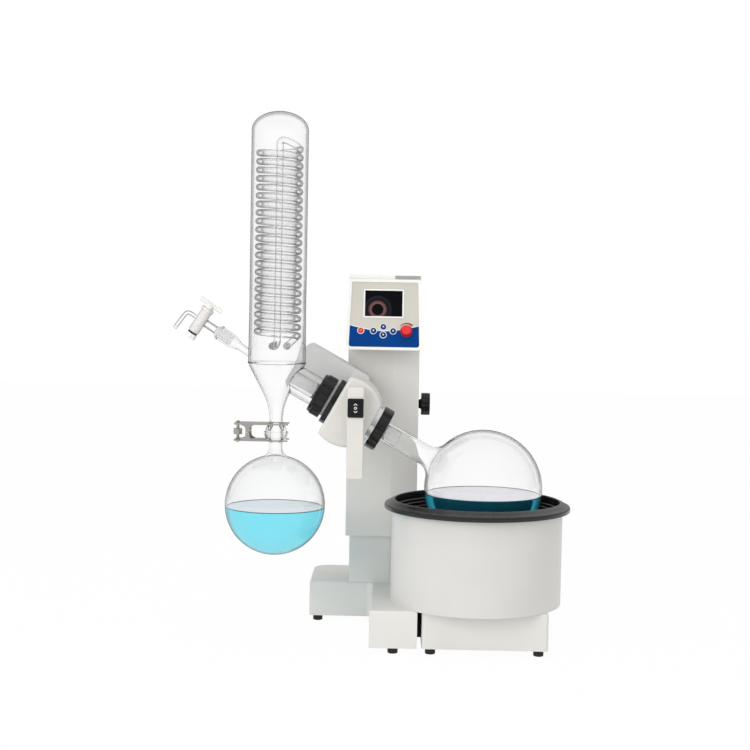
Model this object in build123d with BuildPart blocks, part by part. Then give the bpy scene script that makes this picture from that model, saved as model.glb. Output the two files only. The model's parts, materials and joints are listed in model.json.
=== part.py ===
import os
from math import asin, cos, radians, sin, sqrt, tan

from build123d import *

os.makedirs("parts", exist_ok=True)

# Fits
fit_gap = 0.1
shaft_gap = 0.05
running_gap = 0.3

# Rotor line: it slopes down to the right, through the centre of the head
rotor_tilt = 29.1
head_x = -40.0
head_z = 370.0
axis_y = -68.5

# Column: a sleeve that rides on a fixed mast, both with one bent-back facet
column_x = 15.15
sleeve_width = 119.3
sleeve_front = 53.5
sleeve_depth = 132.5
sleeve_wall = 2.5
sleeve_bottom = 148.0
sleeve_top = 581.0
facet_width = 44.0
facet_angle = 13.5
mast_inset = 7.0
mast_wall = 3.0
mast_floor = 6.0
mast_top = 490.0
guide_height = 20.0

# Base
foot_height = 10.0
foot_radius = 8.0
foot_inset = 14.0
base_height = 58.0
base_wall = 3.0
base_plate = 2.0
base_right = 76.0
bar_width = 179.5
bar_front = 59.5
bar_depth = 157.0
leg_width = 74.5
leg_length = 224.0
base_round = 3.0
bar_corner = 28.0
inner_corner = 10.0

# Lift
screw_radius = 7.0
screw_top = 480.0
lift_motor_radius = 26.0
lift_motor_height = 76.0
journal_depth = 15.0
push_tube_radius = 15.0
push_tube_wall = 4.0
nut_radius = 20.0
nut_height = 28.0
nut_clear = 20.0

# Mains inlet
inlet_width = 48.0
inlet_height = 27.0
inlet_depth = 24.0
inlet_lip = 2.5
inlet_frame = 4.0
pin_size = 4.0
pin_pitch = 14.0

# Bath
dock_gap = 7.0
dock_length = 60.0
pedestal_width = 196.0
pedestal_depth = 192.0
pedestal_round = 6.0
bath_offset = 9.0
bath_wall = 2.0
bath_floor = 3.0
bath_top = 217.0
pot_wall = 1.5
pot_top_radius = 131.0
pot_flange = 5.0
pot_step = 3.0
pot_floor_z = 83.5
rim_overhang = 12.0
rim_peak = 232.0
rim_edge = 223.0
rim_skirt = 2.0
heater_ring = 85.0
heater_radius = 5.0
sensor_radius = 5.0

# Console
console_bottom = 464.0
console_height = 116.0
console_width = 126.0
console_top_width = 119.0
console_depth = 48.0
console_tilt = 15.0
console_wall = 2.5
console_corner = 9.0
panel_border = 5.0
panel_thick = 3.0
panel_sink = 1.0
screen_width = 67.0
screen_height = 49.0
screen_frame = 2.5
screen_thick = 4.0
screen_u = -1.7
screen_v = 78.7
button_radius = 4.6
button_travel = 1.0
button_proud = 2.2
button_cap = 2.0
button_foot = 6.0
key_u = -1.6
key_v = 32.5
key_spread = 16.2
key_rise = 6.8
red_button_u = -38.6
speed_knob_u = 36.4
speed_knob_radius = 8.0
speed_knob_height = 9.0
knob_ring_radius = 10.0
knob_ring_height = 1.5
board_gap = 9.0
board_thick = 1.6

# Column lock knob
lock_z = 368.0
lock_knob_radius = 19.0
lock_knob_width = 15.0
lock_stem = 5.0
lock_stud_radius = 5.0

# Head
drum_radius = 55.0
drum_depth = 100.0
drum_wall = 5.0
drum_round = 5.0
left_flat = -23.0
right_flat = 42.0
back_plate = 5.0
bearing_radius = 34.0
bearing_width = 12.0
bearing_lip = 2.0
bearing_boss = 4.0
spigot_radius = 29.0
spigot_bore = 24.5
spigot_end = -44.0
pivot_x = -6.0
tilt_shaft_radius = 13.0
bracket_radius = 20.0

# Motor casing
casing_end = -110.0
casing_start = 8.0
casing_low = -20.0
casing_high = 60.0
casing_wall = 3.0
casing_round = 10.0
casing_gap = 3.5
motor_radius = 26.0
motor_flange = 4.0
motor_shaft_radius = 5.0

# Belt drive
rotor_radius = 23.0
rotor_left = -20.0
rotor_pulley_radius = 32.0
motor_pulley_radius = 12.0
pulley_start = -7.5
pulley_width = 11.0
pulley_flange = 1.5
belt_thick = 2.0
belt_width = 7.4

# Handle and lift switch
handle_width = 26.0
handle_thick = 21.5
handle_split = 9.0
handle_groove = 1.2
handle_centre = -25.5
handle_top = 411.0
handle_bottom = 268.0
handle_round = 4.0
switch_width = 25.0
switch_height = 29.5
switch_frame = 3.0
switch_lip = 2.0
switch_z = 379.0
switch_depth = 12.0
rocker_proud = 3.0
rocker_relief = 1.3

# Nuts and rings beside the head
ring_thick = 9.0
ring_radius = 38.5
condenser_nut_radius = 35.0
condenser_nut_start = -58.0
condenser_nut_end = -36.0
nut_flutes = 12
flute_radius = 7.0
flute_depth = 2.0
collar_radius = 33.0
collar_end = 50.0
thread_radius = 26.0
flask_nut_radius = 36.0
flask_nut_end = 67.0
nut_lobes = 8
lobe_radius = 7.0
nut_lip = 5.0

# Evaporating flask and vapour tube
flask_s = 250.0
flask_radius = 94.0
flask_wall = 2.0
flask_neck_radius = 16.5
flask_neck_start = 36.0
flask_bead = 4.0
flask_fillet = 22.0
flask_level = 240.0
vapour_radius = 13.0
vapour_wall = 1.8
vapour_left = -112.0
vapour_right = 92.0
liquid_gap = 0.4

# Condenser
condenser_s = -130.5
condenser_radius = 45.0
glass_wall = 2.2
condenser_top = 841.0
dome_height = 30.0
seam_top = 447.0
seam_height = 7.0
seam_bulge = 1.5
cone_bottom = 375.0
neck_radius = 10.75
arm_radius = 23.5
arm_flange = 4.0
ball_z = 333.0
ball_radius = 17.0
coil_radius = 32.25
coil_tube = 5.5
coil_pitch = 13.4
coil_turns = 22
coil_bottom = 487.0
coil_rise = 14.0
port_z = 468.0
port_spread = 12.0
port_radius = 5.0
port_length = 32.0
port_barb = 1.2

# Inlet with its stopcock
inlet_angle = 33.0
inlet_wall_z = 459.0
socket_radius = 11.0
socket_start = 30.0
socket_end = 58.0
inlet_tube_radius = 6.0
barrel_s = 92.0
barrel_radius = 9.0
barrel_length = 44.0
plug_radius = 5.5
plug_bar = 41.0
plug_bar_radius = 3.6
plug_head = 7.0
plug_head_radius = 7.0
seal_thick = 3.0
end_nut_length = 8.0
bent_tube_radius = 3.25
bent_tube_run = 26.0
bent_tube_drop = 20.0
bent_tube_round = 9.0

# Receiving flask
receiver_z = 216.0
receiver_radius = 80.0
receiver_fillet = 14.0
receiver_level = 213.0

# Clamp of the ball joint
jaw_thick = 2.0
jaw_width = 40.0
jaw_half_height = 13.0
jaw_reach = 20.0
jaw_tail = 66.0
jaw_web = 44.0
jaw_web_width = 19.0
clamp_screw_radius = 2.5
clamp_screw_back = 61.0
thumb_radius = 7.0
thumb_height = 9.0

# Rotor directions and planes
slope = radians(rotor_tilt)
axis_dir = Vector(cos(slope), 0, -sin(slope))
up_dir = Vector(sin(slope), 0, cos(slope))
head_centre = Vector(head_x, axis_y, head_z)
rotor_axis = Axis(head_centre, axis_dir)
rotor_section = Plane(origin=head_centre, x_dir=up_dir, z_dir=(0, 1, 0))


def along(s, t=0.0, y=axis_y):
    place = head_centre + axis_dir * s + up_dir * t
    return Vector(place.X, y, place.Z)


def rotor_face(s):
    return Plane(origin=along(s), x_dir=up_dir, z_dir=axis_dir)


def front_plane(y):
    return Plane(origin=(0, y, 0), x_dir=(1, 0, 0), z_dir=(0, -1, 0))


def upright_section(x, y):
    return Plane(origin=(x, y, 0), x_dir=(1, 0, 0), z_dir=(0, -1, 0))


def save(part, name):
    part.label = name
    export_step(part, f"parts/{name}.step")


# Outlines of the column and the base, drawn inwards by a given inset
sleeve_left = column_x - sleeve_width / 2
sleeve_right = column_x + sleeve_width / 2
sleeve_back = sleeve_front + sleeve_depth
fold_x = sleeve_right - facet_width
bend = radians(facet_angle)


def column_outline(inset):
    left = sleeve_left + inset
    right = sleeve_right - inset
    front = sleeve_front + inset
    back = sleeve_back - inset
    fold = fold_x - inset * tan(bend / 2)
    corner = sleeve_front + (right - fold_x) * tan(bend) + inset / cos(bend)
    return [(left, front), (fold, front), (right, corner), (right, back), (left, back)]


base_left = base_right - bar_width
base_back = bar_front + bar_depth
leg_left = base_right - leg_width
leg_front = bar_front - leg_length
base_top = foot_height + base_height


def base_outline(inset):
    return [
        (base_left + inset, bar_front + inset),
        (leg_left + inset, bar_front + inset),
        (leg_left + inset, leg_front + inset),
        (base_right - inset, leg_front + inset),
        (base_right - inset, base_back - inset),
        (base_left + inset, base_back - inset),
    ]


# Stand
inlet_x = base_left + bar_width / 2
inlet_z = foot_height + base_height / 2
with BuildPart() as base_frame:
    with BuildSketch(Plane.XY.offset(foot_height)) as outline:
        Polygon(*base_outline(0), align=None)
        fillet(outline.vertices().group_by(Axis.X)[0].sort_by(Axis.Y)[-1], bar_corner)
        fillet(outline.vertices().sort_by_distance((leg_left, bar_front))[0], inner_corner)
    extrude(amount=base_height)
    fillet(base_frame.faces().sort_by(Axis.Z)[-1].edges(), base_round)
    with BuildSketch(Plane.XY.offset(foot_height)) as cavity:
        Polygon(*base_outline(base_wall), align=None)
        fillet(cavity.vertices().group_by(Axis.X)[0].sort_by(Axis.Y)[-1], bar_corner - base_wall)
        inside = (leg_left + base_wall, bar_front + base_wall)
        fillet(cavity.vertices().sort_by_distance(inside)[0], inner_corner + base_wall)
    extrude(amount=base_height - base_wall, mode=Mode.SUBTRACT)
    with BuildSketch(front_plane(base_back)):
        with Locations((inlet_x, inlet_z)):
            Rectangle(inlet_width - 2 * inlet_frame, inlet_height - 2 * inlet_frame)
    extrude(amount=base_wall, mode=Mode.SUBTRACT)
save(base_frame.part, "base_frame")

with BuildPart() as base_bottom:
    with BuildSketch(Plane.XY.offset(foot_height)) as floor_plan:
        Polygon(*base_outline(base_wall + fit_gap), align=None)
        corner = floor_plan.vertices().group_by(Axis.X)[0].sort_by(Axis.Y)[-1]
        fillet(corner, bar_corner - base_wall - fit_gap)
        inside = (leg_left + base_wall, bar_front + base_wall)
        fillet(floor_plan.vertices().sort_by_distance(inside)[0], inner_corner + base_wall + fit_gap)
    extrude(amount=base_plate)
save(base_bottom.part, "base_bottom")


def foot_profile():
    return [
        (0, 0),
        (foot_radius - 1, 0),
        (foot_radius, 1),
        (foot_radius, foot_height),
        (0, foot_height),
    ]


base_foot_places = [
    (base_left + foot_inset, bar_front + foot_inset),
    (base_left + foot_inset + bar_corner / 2, base_back - foot_inset),
    (base_right - foot_inset, base_back - foot_inset),
    (leg_left + leg_width / 2, leg_front + foot_inset),
]
with BuildPart() as base_feet:
    for x, y in base_foot_places:
        with BuildSketch(upright_section(x, y)):
            Polygon(*foot_profile(), align=None)
        revolve(axis=Axis((x, y, 0), (0, 0, 1)))
save(base_feet.part, "base_feet")

screw_x = column_x
screw_y = sleeve_front + sleeve_depth / 2
motor_floor = base_top + mast_floor
motor_cap = motor_floor + lift_motor_height
with BuildPart() as lower_column:
    with BuildSketch(Plane.XY.offset(base_top)):
        Polygon(*column_outline(mast_inset), align=None)
    extrude(amount=mast_top - base_top)
    with BuildSketch(Plane.XY.offset(motor_floor)):
        Polygon(*column_outline(mast_inset + mast_wall), align=None)
    extrude(amount=mast_top - motor_floor, mode=Mode.SUBTRACT)
save(lower_column.part, "lower_column")

# The guide is open on the right, where the lock stud comes past it
lock_y = sleeve_front + sleeve_depth / 2
with BuildPart() as upper_guide:
    with BuildSketch(Plane.XY.offset(mast_top - guide_height)):
        Polygon(*column_outline(sleeve_wall + running_gap), align=None)
        Polygon(*column_outline(mast_inset), align=None, mode=Mode.SUBTRACT)
        with Locations((sleeve_right, lock_y)):
            Rectangle(2 * mast_inset, 2 * (lock_stud_radius + running_gap), mode=Mode.SUBTRACT)
    extrude(amount=guide_height)
save(upper_guide.part, "upper_guide")

with BuildPart() as lift_motor:
    with BuildSketch(Plane.XY.offset(motor_floor)):
        with Locations((screw_x, screw_y)):
            Circle(lift_motor_radius)
    extrude(amount=lift_motor_height)
    with BuildSketch(Plane.XY.offset(motor_cap - journal_depth)):
        with Locations((screw_x, screw_y)):
            Circle(screw_radius + shaft_gap)
    extrude(amount=journal_depth, mode=Mode.SUBTRACT)
    fillet(lift_motor.edges().filter_by(GeomType.CIRCLE).sort_by(Axis.Z)[0], 1)
save(lift_motor.part, "lift_motor")

with BuildPart() as lead_screw:
    with BuildSketch(Plane.XY.offset(motor_cap - journal_depth)):
        with Locations((screw_x, screw_y)):
            Circle(screw_radius)
    extrude(amount=screw_top - motor_cap + journal_depth)
    chamfer(lead_screw.edges().sort_by(Axis.Z)[-1], 1)
save(lead_screw.part, "lead_screw")

with BuildPart() as mains_inlet:
    with BuildSketch(front_plane(base_back)):
        with Locations((inlet_x, inlet_z)):
            RectangleRounded(inlet_width, inlet_height, inlet_frame - 1)
    extrude(amount=-inlet_lip)
    with BuildSketch(front_plane(base_back)):
        with Locations((inlet_x, inlet_z)):
            Rectangle(
                inlet_width - 2 * inlet_frame - 2 * fit_gap,
                inlet_height - 2 * inlet_frame - 2 * fit_gap,
            )
    extrude(amount=inlet_depth)
    with BuildSketch(front_plane(base_back + inlet_lip)):
        with Locations((inlet_x, inlet_z)):
            Rectangle(inlet_width - 4 * inlet_frame, inlet_height - 3 * inlet_frame)
    extrude(amount=inlet_depth, mode=Mode.SUBTRACT)
    with BuildSketch(front_plane(base_back - inlet_depth + inlet_lip)):
        with Locations(
            (inlet_x - pin_pitch / 2, inlet_z),
            (inlet_x, inlet_z + inlet_frame / 2),
            (inlet_x + pin_pitch / 2, inlet_z),
        ):
            Rectangle(pin_size / 2, pin_size)
    extrude(amount=-inlet_depth / 2)
save(mains_inlet.part, "mains_inlet")

# Bath
flask_centre = along(flask_s)
bath_x = flask_centre.X - bath_offset
bath_axis = Axis((bath_x, axis_y, 0), (0, 0, 1))
bath_section = upright_section(bath_x, axis_y)
pedestal_left = base_right + dock_gap
pedestal_x = pedestal_left + pedestal_width / 2
pedestal_top = base_top
with BuildPart() as bath_pedestal:
    with BuildSketch(Plane.XY.offset(foot_height)):
        with Locations((pedestal_x, axis_y)):
            RectangleRounded(pedestal_width, pedestal_depth, pedestal_round)
    extrude(amount=base_height)
    fillet(bath_pedestal.faces().sort_by(Axis.Z)[-1].edges(), base_round)
    with BuildSketch(Plane.XY.offset(foot_height + base_plate)):
        with Locations((pedestal_x, axis_y)):
            RectangleRounded(
                pedestal_width - 2 * base_wall,
                pedestal_depth - 2 * base_wall,
                pedestal_round - base_wall,
            )
    extrude(amount=base_height - base_plate - base_wall, mode=Mode.SUBTRACT)
save(bath_pedestal.part, "bath_pedestal")

with BuildPart() as bath_feet:
    for dx in (-1, 1):
        for dy in (-1, 1):
            x = pedestal_x + dx * (pedestal_width / 2 - foot_inset)
            y = axis_y + dy * (pedestal_depth / 2 - foot_inset)
            with BuildSketch(upright_section(x, y)):
                Polygon(*foot_profile(), align=None)
            revolve(axis=Axis((x, y, 0), (0, 0, 1)))
save(bath_feet.part, "bath_feet")

with BuildPart() as docking_pad:
    with BuildSketch(Plane.XY.offset(foot_height + base_round)):
        with Locations((base_right + dock_gap / 2, axis_y)):
            Rectangle(dock_gap, dock_length)
    extrude(amount=base_height - 2 * base_round)
save(docking_pad.part, "docking_pad")

# The shell takes its size from the pot that hangs in it, and the rim from the shell
bath_radius = pot_top_radius + pot_flange
rim_radius = bath_radius + rim_overhang
shell_floor = pedestal_top + bath_floor
with BuildPart() as bath_shell:
    with BuildSketch(bath_section):
        Polygon(
            (0, pedestal_top),
            (bath_radius, pedestal_top),
            (bath_radius, bath_top),
            (bath_radius - bath_wall, bath_top),
            (bath_radius - bath_wall, shell_floor),
            (0, shell_floor),
            align=None,
        )
    revolve(axis=bath_axis)
save(bath_shell.part, "bath_shell")

flange_top = bath_top + pot_wall
pot_depth = flange_top - pot_floor_z
upper_step = flange_top - pot_depth * 0.15
lower_step = flange_top - pot_depth * 0.55
pot_mid = pot_top_radius - pot_step
pot_low = pot_mid - pot_step
with BuildPart() as bath_pot:
    with BuildSketch(bath_section):
        Polygon(
            (0, pot_floor_z),
            (pot_low, pot_floor_z),
            (pot_low, lower_step),
            (pot_mid, lower_step),
            (pot_mid, upper_step),
            (pot_top_radius, upper_step),
            (pot_top_radius, flange_top),
            (bath_radius, flange_top),
            (bath_radius, bath_top),
            (pot_top_radius + pot_wall, bath_top),
            (pot_top_radius + pot_wall, upper_step - pot_wall),
            (pot_mid + pot_wall, upper_step - pot_wall),
            (pot_mid + pot_wall, lower_step - pot_wall),
            (pot_low + pot_wall, lower_step - pot_wall),
            (pot_low + pot_wall, pot_floor_z - pot_wall),
            (0, pot_floor_z - pot_wall),
            align=None,
        )
    revolve(axis=bath_axis)
save(bath_pot.part, "bath_pot")

with BuildPart() as bath_rim:
    with BuildSketch(bath_section) as rim_profile:
        Polygon(
            (pot_top_radius, flange_top),
            (pot_top_radius, rim_peak),
            (rim_radius, rim_edge),
            (rim_radius, bath_top - rim_skirt),
            (bath_radius + running_gap, bath_top - rim_skirt),
            (bath_radius + running_gap, flange_top),
            align=None,
        )
        fillet(rim_profile.vertices().group_by(Axis.X)[-1], 1)
        fillet(rim_profile.vertices().sort_by(Axis.Y)[-1], 1)
    revolve(axis=bath_axis)
save(bath_rim.part, "bath_rim")

with BuildPart() as bath_heater:
    with BuildSketch(bath_section):
        with Locations((heater_ring, shell_floor + heater_radius)):
            Circle(heater_radius)
    revolve(axis=bath_axis)
save(bath_heater.part, "bath_heater")

with BuildPart() as bath_sensor:
    with BuildSketch(Plane.XY.offset(shell_floor)):
        with Locations((bath_x, axis_y)):
            Circle(sensor_radius)
    extrude(amount=pot_floor_z - pot_wall - shell_floor)
save(bath_sensor.part, "bath_sensor")

# Carriage: the sleeve with what hangs on it
with BuildPart() as column_sleeve:
    with BuildSketch(Plane.XY.offset(sleeve_bottom)):
        Polygon(*column_outline(0), align=None)
    extrude(amount=sleeve_top - sleeve_bottom)
    fillet(column_sleeve.edges().filter_by(Axis.Z), 2)
    with BuildSketch(Plane.XY.offset(sleeve_bottom)):
        Polygon(*column_outline(sleeve_wall), align=None)
    extrude(amount=sleeve_top - sleeve_bottom - sleeve_wall, mode=Mode.SUBTRACT)
    with BuildSketch(Plane.YZ.offset(sleeve_right)):
        with Locations((lock_y, lock_z)):
            Circle(lock_stud_radius + shaft_gap)
    extrude(amount=-sleeve_wall, mode=Mode.SUBTRACT)
save(column_sleeve.part, "column_sleeve")

with BuildPart() as lower_guide:
    with BuildSketch(Plane.XY.offset(sleeve_bottom)):
        Polygon(*column_outline(sleeve_wall), align=None)
        Polygon(*column_outline(mast_inset - running_gap), align=None, mode=Mode.SUBTRACT)
    extrude(amount=guide_height)
save(lower_guide.part, "lower_guide")

nut_bottom = motor_cap + nut_clear
tube_top = sleeve_top - sleeve_wall
with BuildPart() as lift_nut:
    with BuildSketch(Plane.XY.offset(nut_bottom)):
        with Locations((screw_x, screw_y)):
            Circle(nut_radius)
            Circle(screw_radius + shaft_gap, mode=Mode.SUBTRACT)
    extrude(amount=nut_height)
save(lift_nut.part, "lift_nut")

with BuildPart() as push_tube:
    with BuildSketch(Plane.XY.offset(nut_bottom + nut_height)):
        with Locations((screw_x, screw_y)):
            Circle(push_tube_radius)
            Circle(push_tube_radius - push_tube_wall, mode=Mode.SUBTRACT)
    extrude(amount=tube_top - nut_bottom - nut_height)
save(push_tube.part, "push_tube")

head_back = axis_y + drum_depth / 2
plate_back = head_back + back_plate
bracket_front = plate_back + running_gap
with BuildPart() as head_bracket:
    with BuildSketch(front_plane(sleeve_front)):
        with Locations((pivot_x, head_z)):
            Circle(bracket_radius)
            Circle(tilt_shaft_radius + shaft_gap, mode=Mode.SUBTRACT)
    extrude(amount=sleeve_front - bracket_front)
save(head_bracket.part, "head_bracket")

# Console on the sleeve's front
lean = radians(console_tilt)
console_front = sleeve_front - console_depth
panel_plane = Plane(
    origin=(column_x, console_front, console_bottom),
    x_dir=(1, 0, 0),
    z_dir=(0, -cos(lean), sin(lean)),
)
face_height = console_height / cos(lean)


def console_outline(inset, height):
    half_low = console_width / 2 - inset
    half_high = console_top_width / 2 - inset
    return [(-half_low, inset), (half_low, inset), (half_high, height - inset), (-half_high, height - inset)]


with BuildPart() as console_housing:
    with BuildSketch(front_plane(sleeve_front)) as console_face:
        with Locations((column_x, console_bottom)):
            Polygon(*console_outline(0, console_height), align=None)
        fillet(console_face.vertices().group_by(Axis.Y)[0], console_corner)
        fillet(console_face.vertices().group_by(Axis.Y)[-1], console_corner / 3)
    extrude(amount=console_depth)
    split(bisect_by=panel_plane, keep=Keep.BOTTOM)
    with BuildSketch(panel_plane) as panel_seat:
        Polygon(*console_outline(panel_border - fit_gap, face_height), align=None)
        fillet(panel_seat.vertices().group_by(Axis.Y)[0], console_corner / 2)
    extrude(amount=-panel_thick - panel_sink, mode=Mode.SUBTRACT)
    with BuildSketch(front_plane(sleeve_front)):
        with Locations((column_x, console_bottom)):
            Polygon(*console_outline(panel_border + console_wall, console_height), align=None)
    extrude(amount=console_depth, mode=Mode.SUBTRACT)
save(console_housing.part, "console_housing")

panel_back = -panel_sink - panel_thick
key_places = {
    "key_left": (key_u - key_spread, key_v),
    "key_right": (key_u + key_spread, key_v),
    "key_up": (key_u, key_v + key_rise),
    "key_down": (key_u, key_v - key_rise),
}
button_places = {"red_button": (red_button_u, key_v), **key_places}
knob_place = (speed_knob_u, key_v)
with BuildPart() as console_panel:
    with BuildSketch(panel_plane.offset(panel_back)) as panel_face:
        Polygon(*console_outline(panel_border, face_height), align=None)
        fillet(panel_face.vertices().group_by(Axis.Y)[0], console_corner / 2)
        with Locations((screen_u, screen_v)):
            Rectangle(screen_width - 2 * screen_frame, screen_height - 2 * screen_frame, mode=Mode.SUBTRACT)
        with Locations(*button_places.values()):
            Circle(button_radius + fit_gap, mode=Mode.SUBTRACT)
        with Locations(knob_place):
            Circle(motor_shaft_radius + fit_gap, mode=Mode.SUBTRACT)
    extrude(amount=panel_thick)
    with BuildSketch(panel_plane.offset(-panel_sink)):
        with Locations(knob_place):
            Circle(knob_ring_radius)
            Circle(motor_shaft_radius + fit_gap, mode=Mode.SUBTRACT)
    extrude(amount=knob_ring_height)
    with BuildSketch(panel_plane.offset(-panel_sink)):
        with Locations((screen_u, screen_v)):
            RectangleRounded(screen_width, screen_height, console_wall)
            Rectangle(screen_width - 2 * screen_frame, screen_height - 2 * screen_frame, mode=Mode.SUBTRACT)
    extrude(amount=panel_sink)
save(console_panel.part, "console_panel")

with BuildPart() as display_screen:
    with BuildSketch(panel_plane.offset(-panel_sink)):
        with Locations((screen_u, screen_v)):
            Rectangle(
                screen_width - 2 * screen_frame - 2 * fit_gap,
                screen_height - 2 * screen_frame - 2 * fit_gap,
            )
    extrude(amount=-panel_thick)
    with BuildSketch(panel_plane.offset(panel_back)):
        with Locations((screen_u, screen_v)):
            Rectangle(screen_width, screen_height)
    extrude(amount=-screen_thick)
save(display_screen.part, "display_screen")

# The board stands on the screen's back, behind the feet of the pushed buttons
board_front = panel_back - board_gap
board_margin = 2 * panel_border + (board_thick - board_front) * tan(lean)
with BuildPart() as control_board:
    with BuildSketch(panel_plane.offset(board_front)):
        with Locations((0, face_height / 2)):
            Rectangle(console_top_width - 4 * panel_border, face_height - 2 * board_margin)
    extrude(amount=-board_thick)
    with BuildSketch(panel_plane.offset(board_front)):
        with Locations((screen_u, screen_v)):
            Rectangle(screen_width - 2 * screen_frame, screen_height - 2 * screen_frame)
    extrude(amount=board_gap - screen_thick)
    with BuildSketch(panel_plane.offset(board_front)):
        with Locations(*button_places.values()):
            Circle(button_radius - 1)
    extrude(amount=board_gap - button_cap - button_travel - fit_gap)
    with BuildSketch(panel_plane.offset(board_front)):
        with Locations(knob_place):
            Circle(motor_shaft_radius)
    extrude(amount=board_gap - fit_gap)
save(control_board.part, "control_board")

# Each button has a foot behind the panel that keeps it in
for name, place in button_places.items():
    with BuildPart() as button:
        with BuildSketch(panel_plane.offset(panel_back)):
            with Locations(place):
                Circle(button_radius)
        extrude(amount=panel_thick + button_proud)
        fillet(button.edges().group_by(Axis(panel_plane.origin, panel_plane.z_dir))[-1], button_cap / 2)
        with BuildSketch(panel_plane.offset(panel_back)):
            with Locations(place):
                Circle(button_foot)
        extrude(amount=-button_cap)
    save(button.part, name)

with BuildPart() as speed_knob:
    with BuildSketch(panel_plane.offset(-panel_sink + knob_ring_height + fit_gap)):
        with Locations(knob_place):
            Circle(speed_knob_radius)
    extrude(amount=speed_knob_height)
    fillet(speed_knob.edges().group_by(Axis(panel_plane.origin, panel_plane.z_dir))[-1], button_cap)
    with BuildSketch(panel_plane.offset(panel_back)):
        with Locations(knob_place):
            Circle(motor_shaft_radius)
    extrude(amount=panel_thick + knob_ring_height + fit_gap)
save(speed_knob.part, "speed_knob")

# Lock knob: its stud goes through the sleeve to the mast
mast_right = sleeve_right - mast_inset
with BuildPart() as lock_knob:
    with BuildSketch(Plane.YZ.offset(sleeve_right + lock_stem)):
        with Locations((lock_y, lock_z)):
            Circle(lock_knob_radius)
    extrude(amount=lock_knob_width)
    fillet(lock_knob.edges(), 1.5)
    for step in range(12):
        turn = radians(30 * step)
        with BuildSketch(Plane.YZ.offset(sleeve_right + lock_stem)):
            with Locations(
                (lock_y + (lock_knob_radius + 2) * cos(turn), lock_z + (lock_knob_radius + 2) * sin(turn))
            ):
                Circle(lobe_radius / 2)
        extrude(amount=lock_knob_width, mode=Mode.SUBTRACT)
    with BuildSketch(Plane.YZ.offset(sleeve_right + fit_gap)):
        with Locations((lock_y, lock_z)):
            Circle(lock_stud_radius + 2)
    with BuildSketch(Plane.YZ.offset(sleeve_right + lock_stem)):
        with Locations((lock_y, lock_z)):
            Circle(lock_stud_radius + 4)
    loft()
    with BuildSketch(Plane.YZ.offset(mast_right + running_gap)):
        with Locations((lock_y, lock_z)):
            Circle(lock_stud_radius)
    extrude(amount=sleeve_right + lock_stem - mast_right - running_gap)
save(lock_knob.part, "lock_knob")

# Head
drum_front = head_back - drum_depth
with BuildPart() as drum_cavity:
    with BuildSketch(front_plane(head_back)):
        with Locations((head_x, head_z)):
            Circle(drum_radius - drum_wall)
    extrude(amount=drum_depth - drum_wall)
    split(bisect_by=rotor_face(left_flat + drum_wall), keep=Keep.TOP)
    split(bisect_by=rotor_face(right_flat - drum_wall), keep=Keep.BOTTOM)

left_seat = left_flat + bearing_lip
right_seat = right_flat - bearing_lip
boss_radius = bearing_radius + bearing_boss
with BuildPart() as head_drum:
    with BuildSketch(front_plane(head_back)):
        with Locations((head_x, head_z)):
            Circle(drum_radius)
    extrude(amount=drum_depth)
    split(bisect_by=rotor_face(left_flat), keep=Keep.TOP)
    split(bisect_by=rotor_face(right_flat), keep=Keep.BOTTOM)
    fillet(head_drum.faces().sort_by(Axis.Y)[0].edges(), drum_round)
    add(drum_cavity.part, mode=Mode.SUBTRACT)
    with BuildSketch(rotor_section):
        Polygon(
            (0, left_flat),
            (boss_radius, left_flat),
            (boss_radius, left_seat + bearing_width),
            (0, left_seat + bearing_width),
            align=None,
        )
        Polygon(
            (0, right_flat),
            (boss_radius, right_flat),
            (boss_radius, right_seat - bearing_width),
            (0, right_seat - bearing_width),
            align=None,
        )
        Polygon(
            (0, spigot_end), (spigot_radius, spigot_end), (spigot_radius, left_flat), (0, left_flat), align=None
        )
    revolve(axis=rotor_axis)
    with BuildSketch(rotor_section):
        Polygon(
            (0, spigot_end),
            (spigot_bore, spigot_end),
            (spigot_bore, left_seat),
            (bearing_radius, left_seat),
            (bearing_radius, left_seat + bearing_width),
            (0, left_seat + bearing_width),
            align=None,
        )
        Polygon(
            (0, right_seat - bearing_width),
            (bearing_radius, right_seat - bearing_width),
            (bearing_radius, right_seat),
            (rotor_radius + running_gap, right_seat),
            (rotor_radius + running_gap, right_flat),
            (0, right_flat),
            align=None,
        )
    revolve(axis=rotor_axis, mode=Mode.SUBTRACT)
save(head_drum.part, "head_drum")

belt_centre = pulley_start + pulley_width / 2
casing_back = sleeve_front - casing_gap
motor_y = (plate_back + casing_back) / 2
motor_t = (casing_low + casing_high) / 2
belt_slot = rotor_pulley_radius + 2 * belt_thick + 2


def belt_cutter(front, depth):
    with BuildPart() as cutter:
        with BuildSketch(Plane(origin=along(belt_centre, 0, front), x_dir=up_dir, z_dir=(0, 1, 0))):
            Rectangle(2 * belt_slot, pulley_width + 3)
        extrude(amount=depth)
    return cutter.part


# The tilt shaft goes back into the bracket on the sleeve
with BuildPart() as head_back_plate:
    with BuildSketch(front_plane(plate_back)):
        with Locations((head_x, head_z)):
            Circle(drum_radius)
    extrude(amount=back_plate)
    split(bisect_by=rotor_face(left_flat), keep=Keep.TOP)
    split(bisect_by=rotor_face(right_flat), keep=Keep.BOTTOM)
    add(belt_cutter(head_back, back_plate), mode=Mode.SUBTRACT)
    with BuildSketch(front_plane(plate_back)):
        with Locations((pivot_x, head_z)):
            Circle(tilt_shaft_radius)
    extrude(amount=plate_back - casing_back)
save(head_back_plate.part, "head_back_plate")

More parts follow.
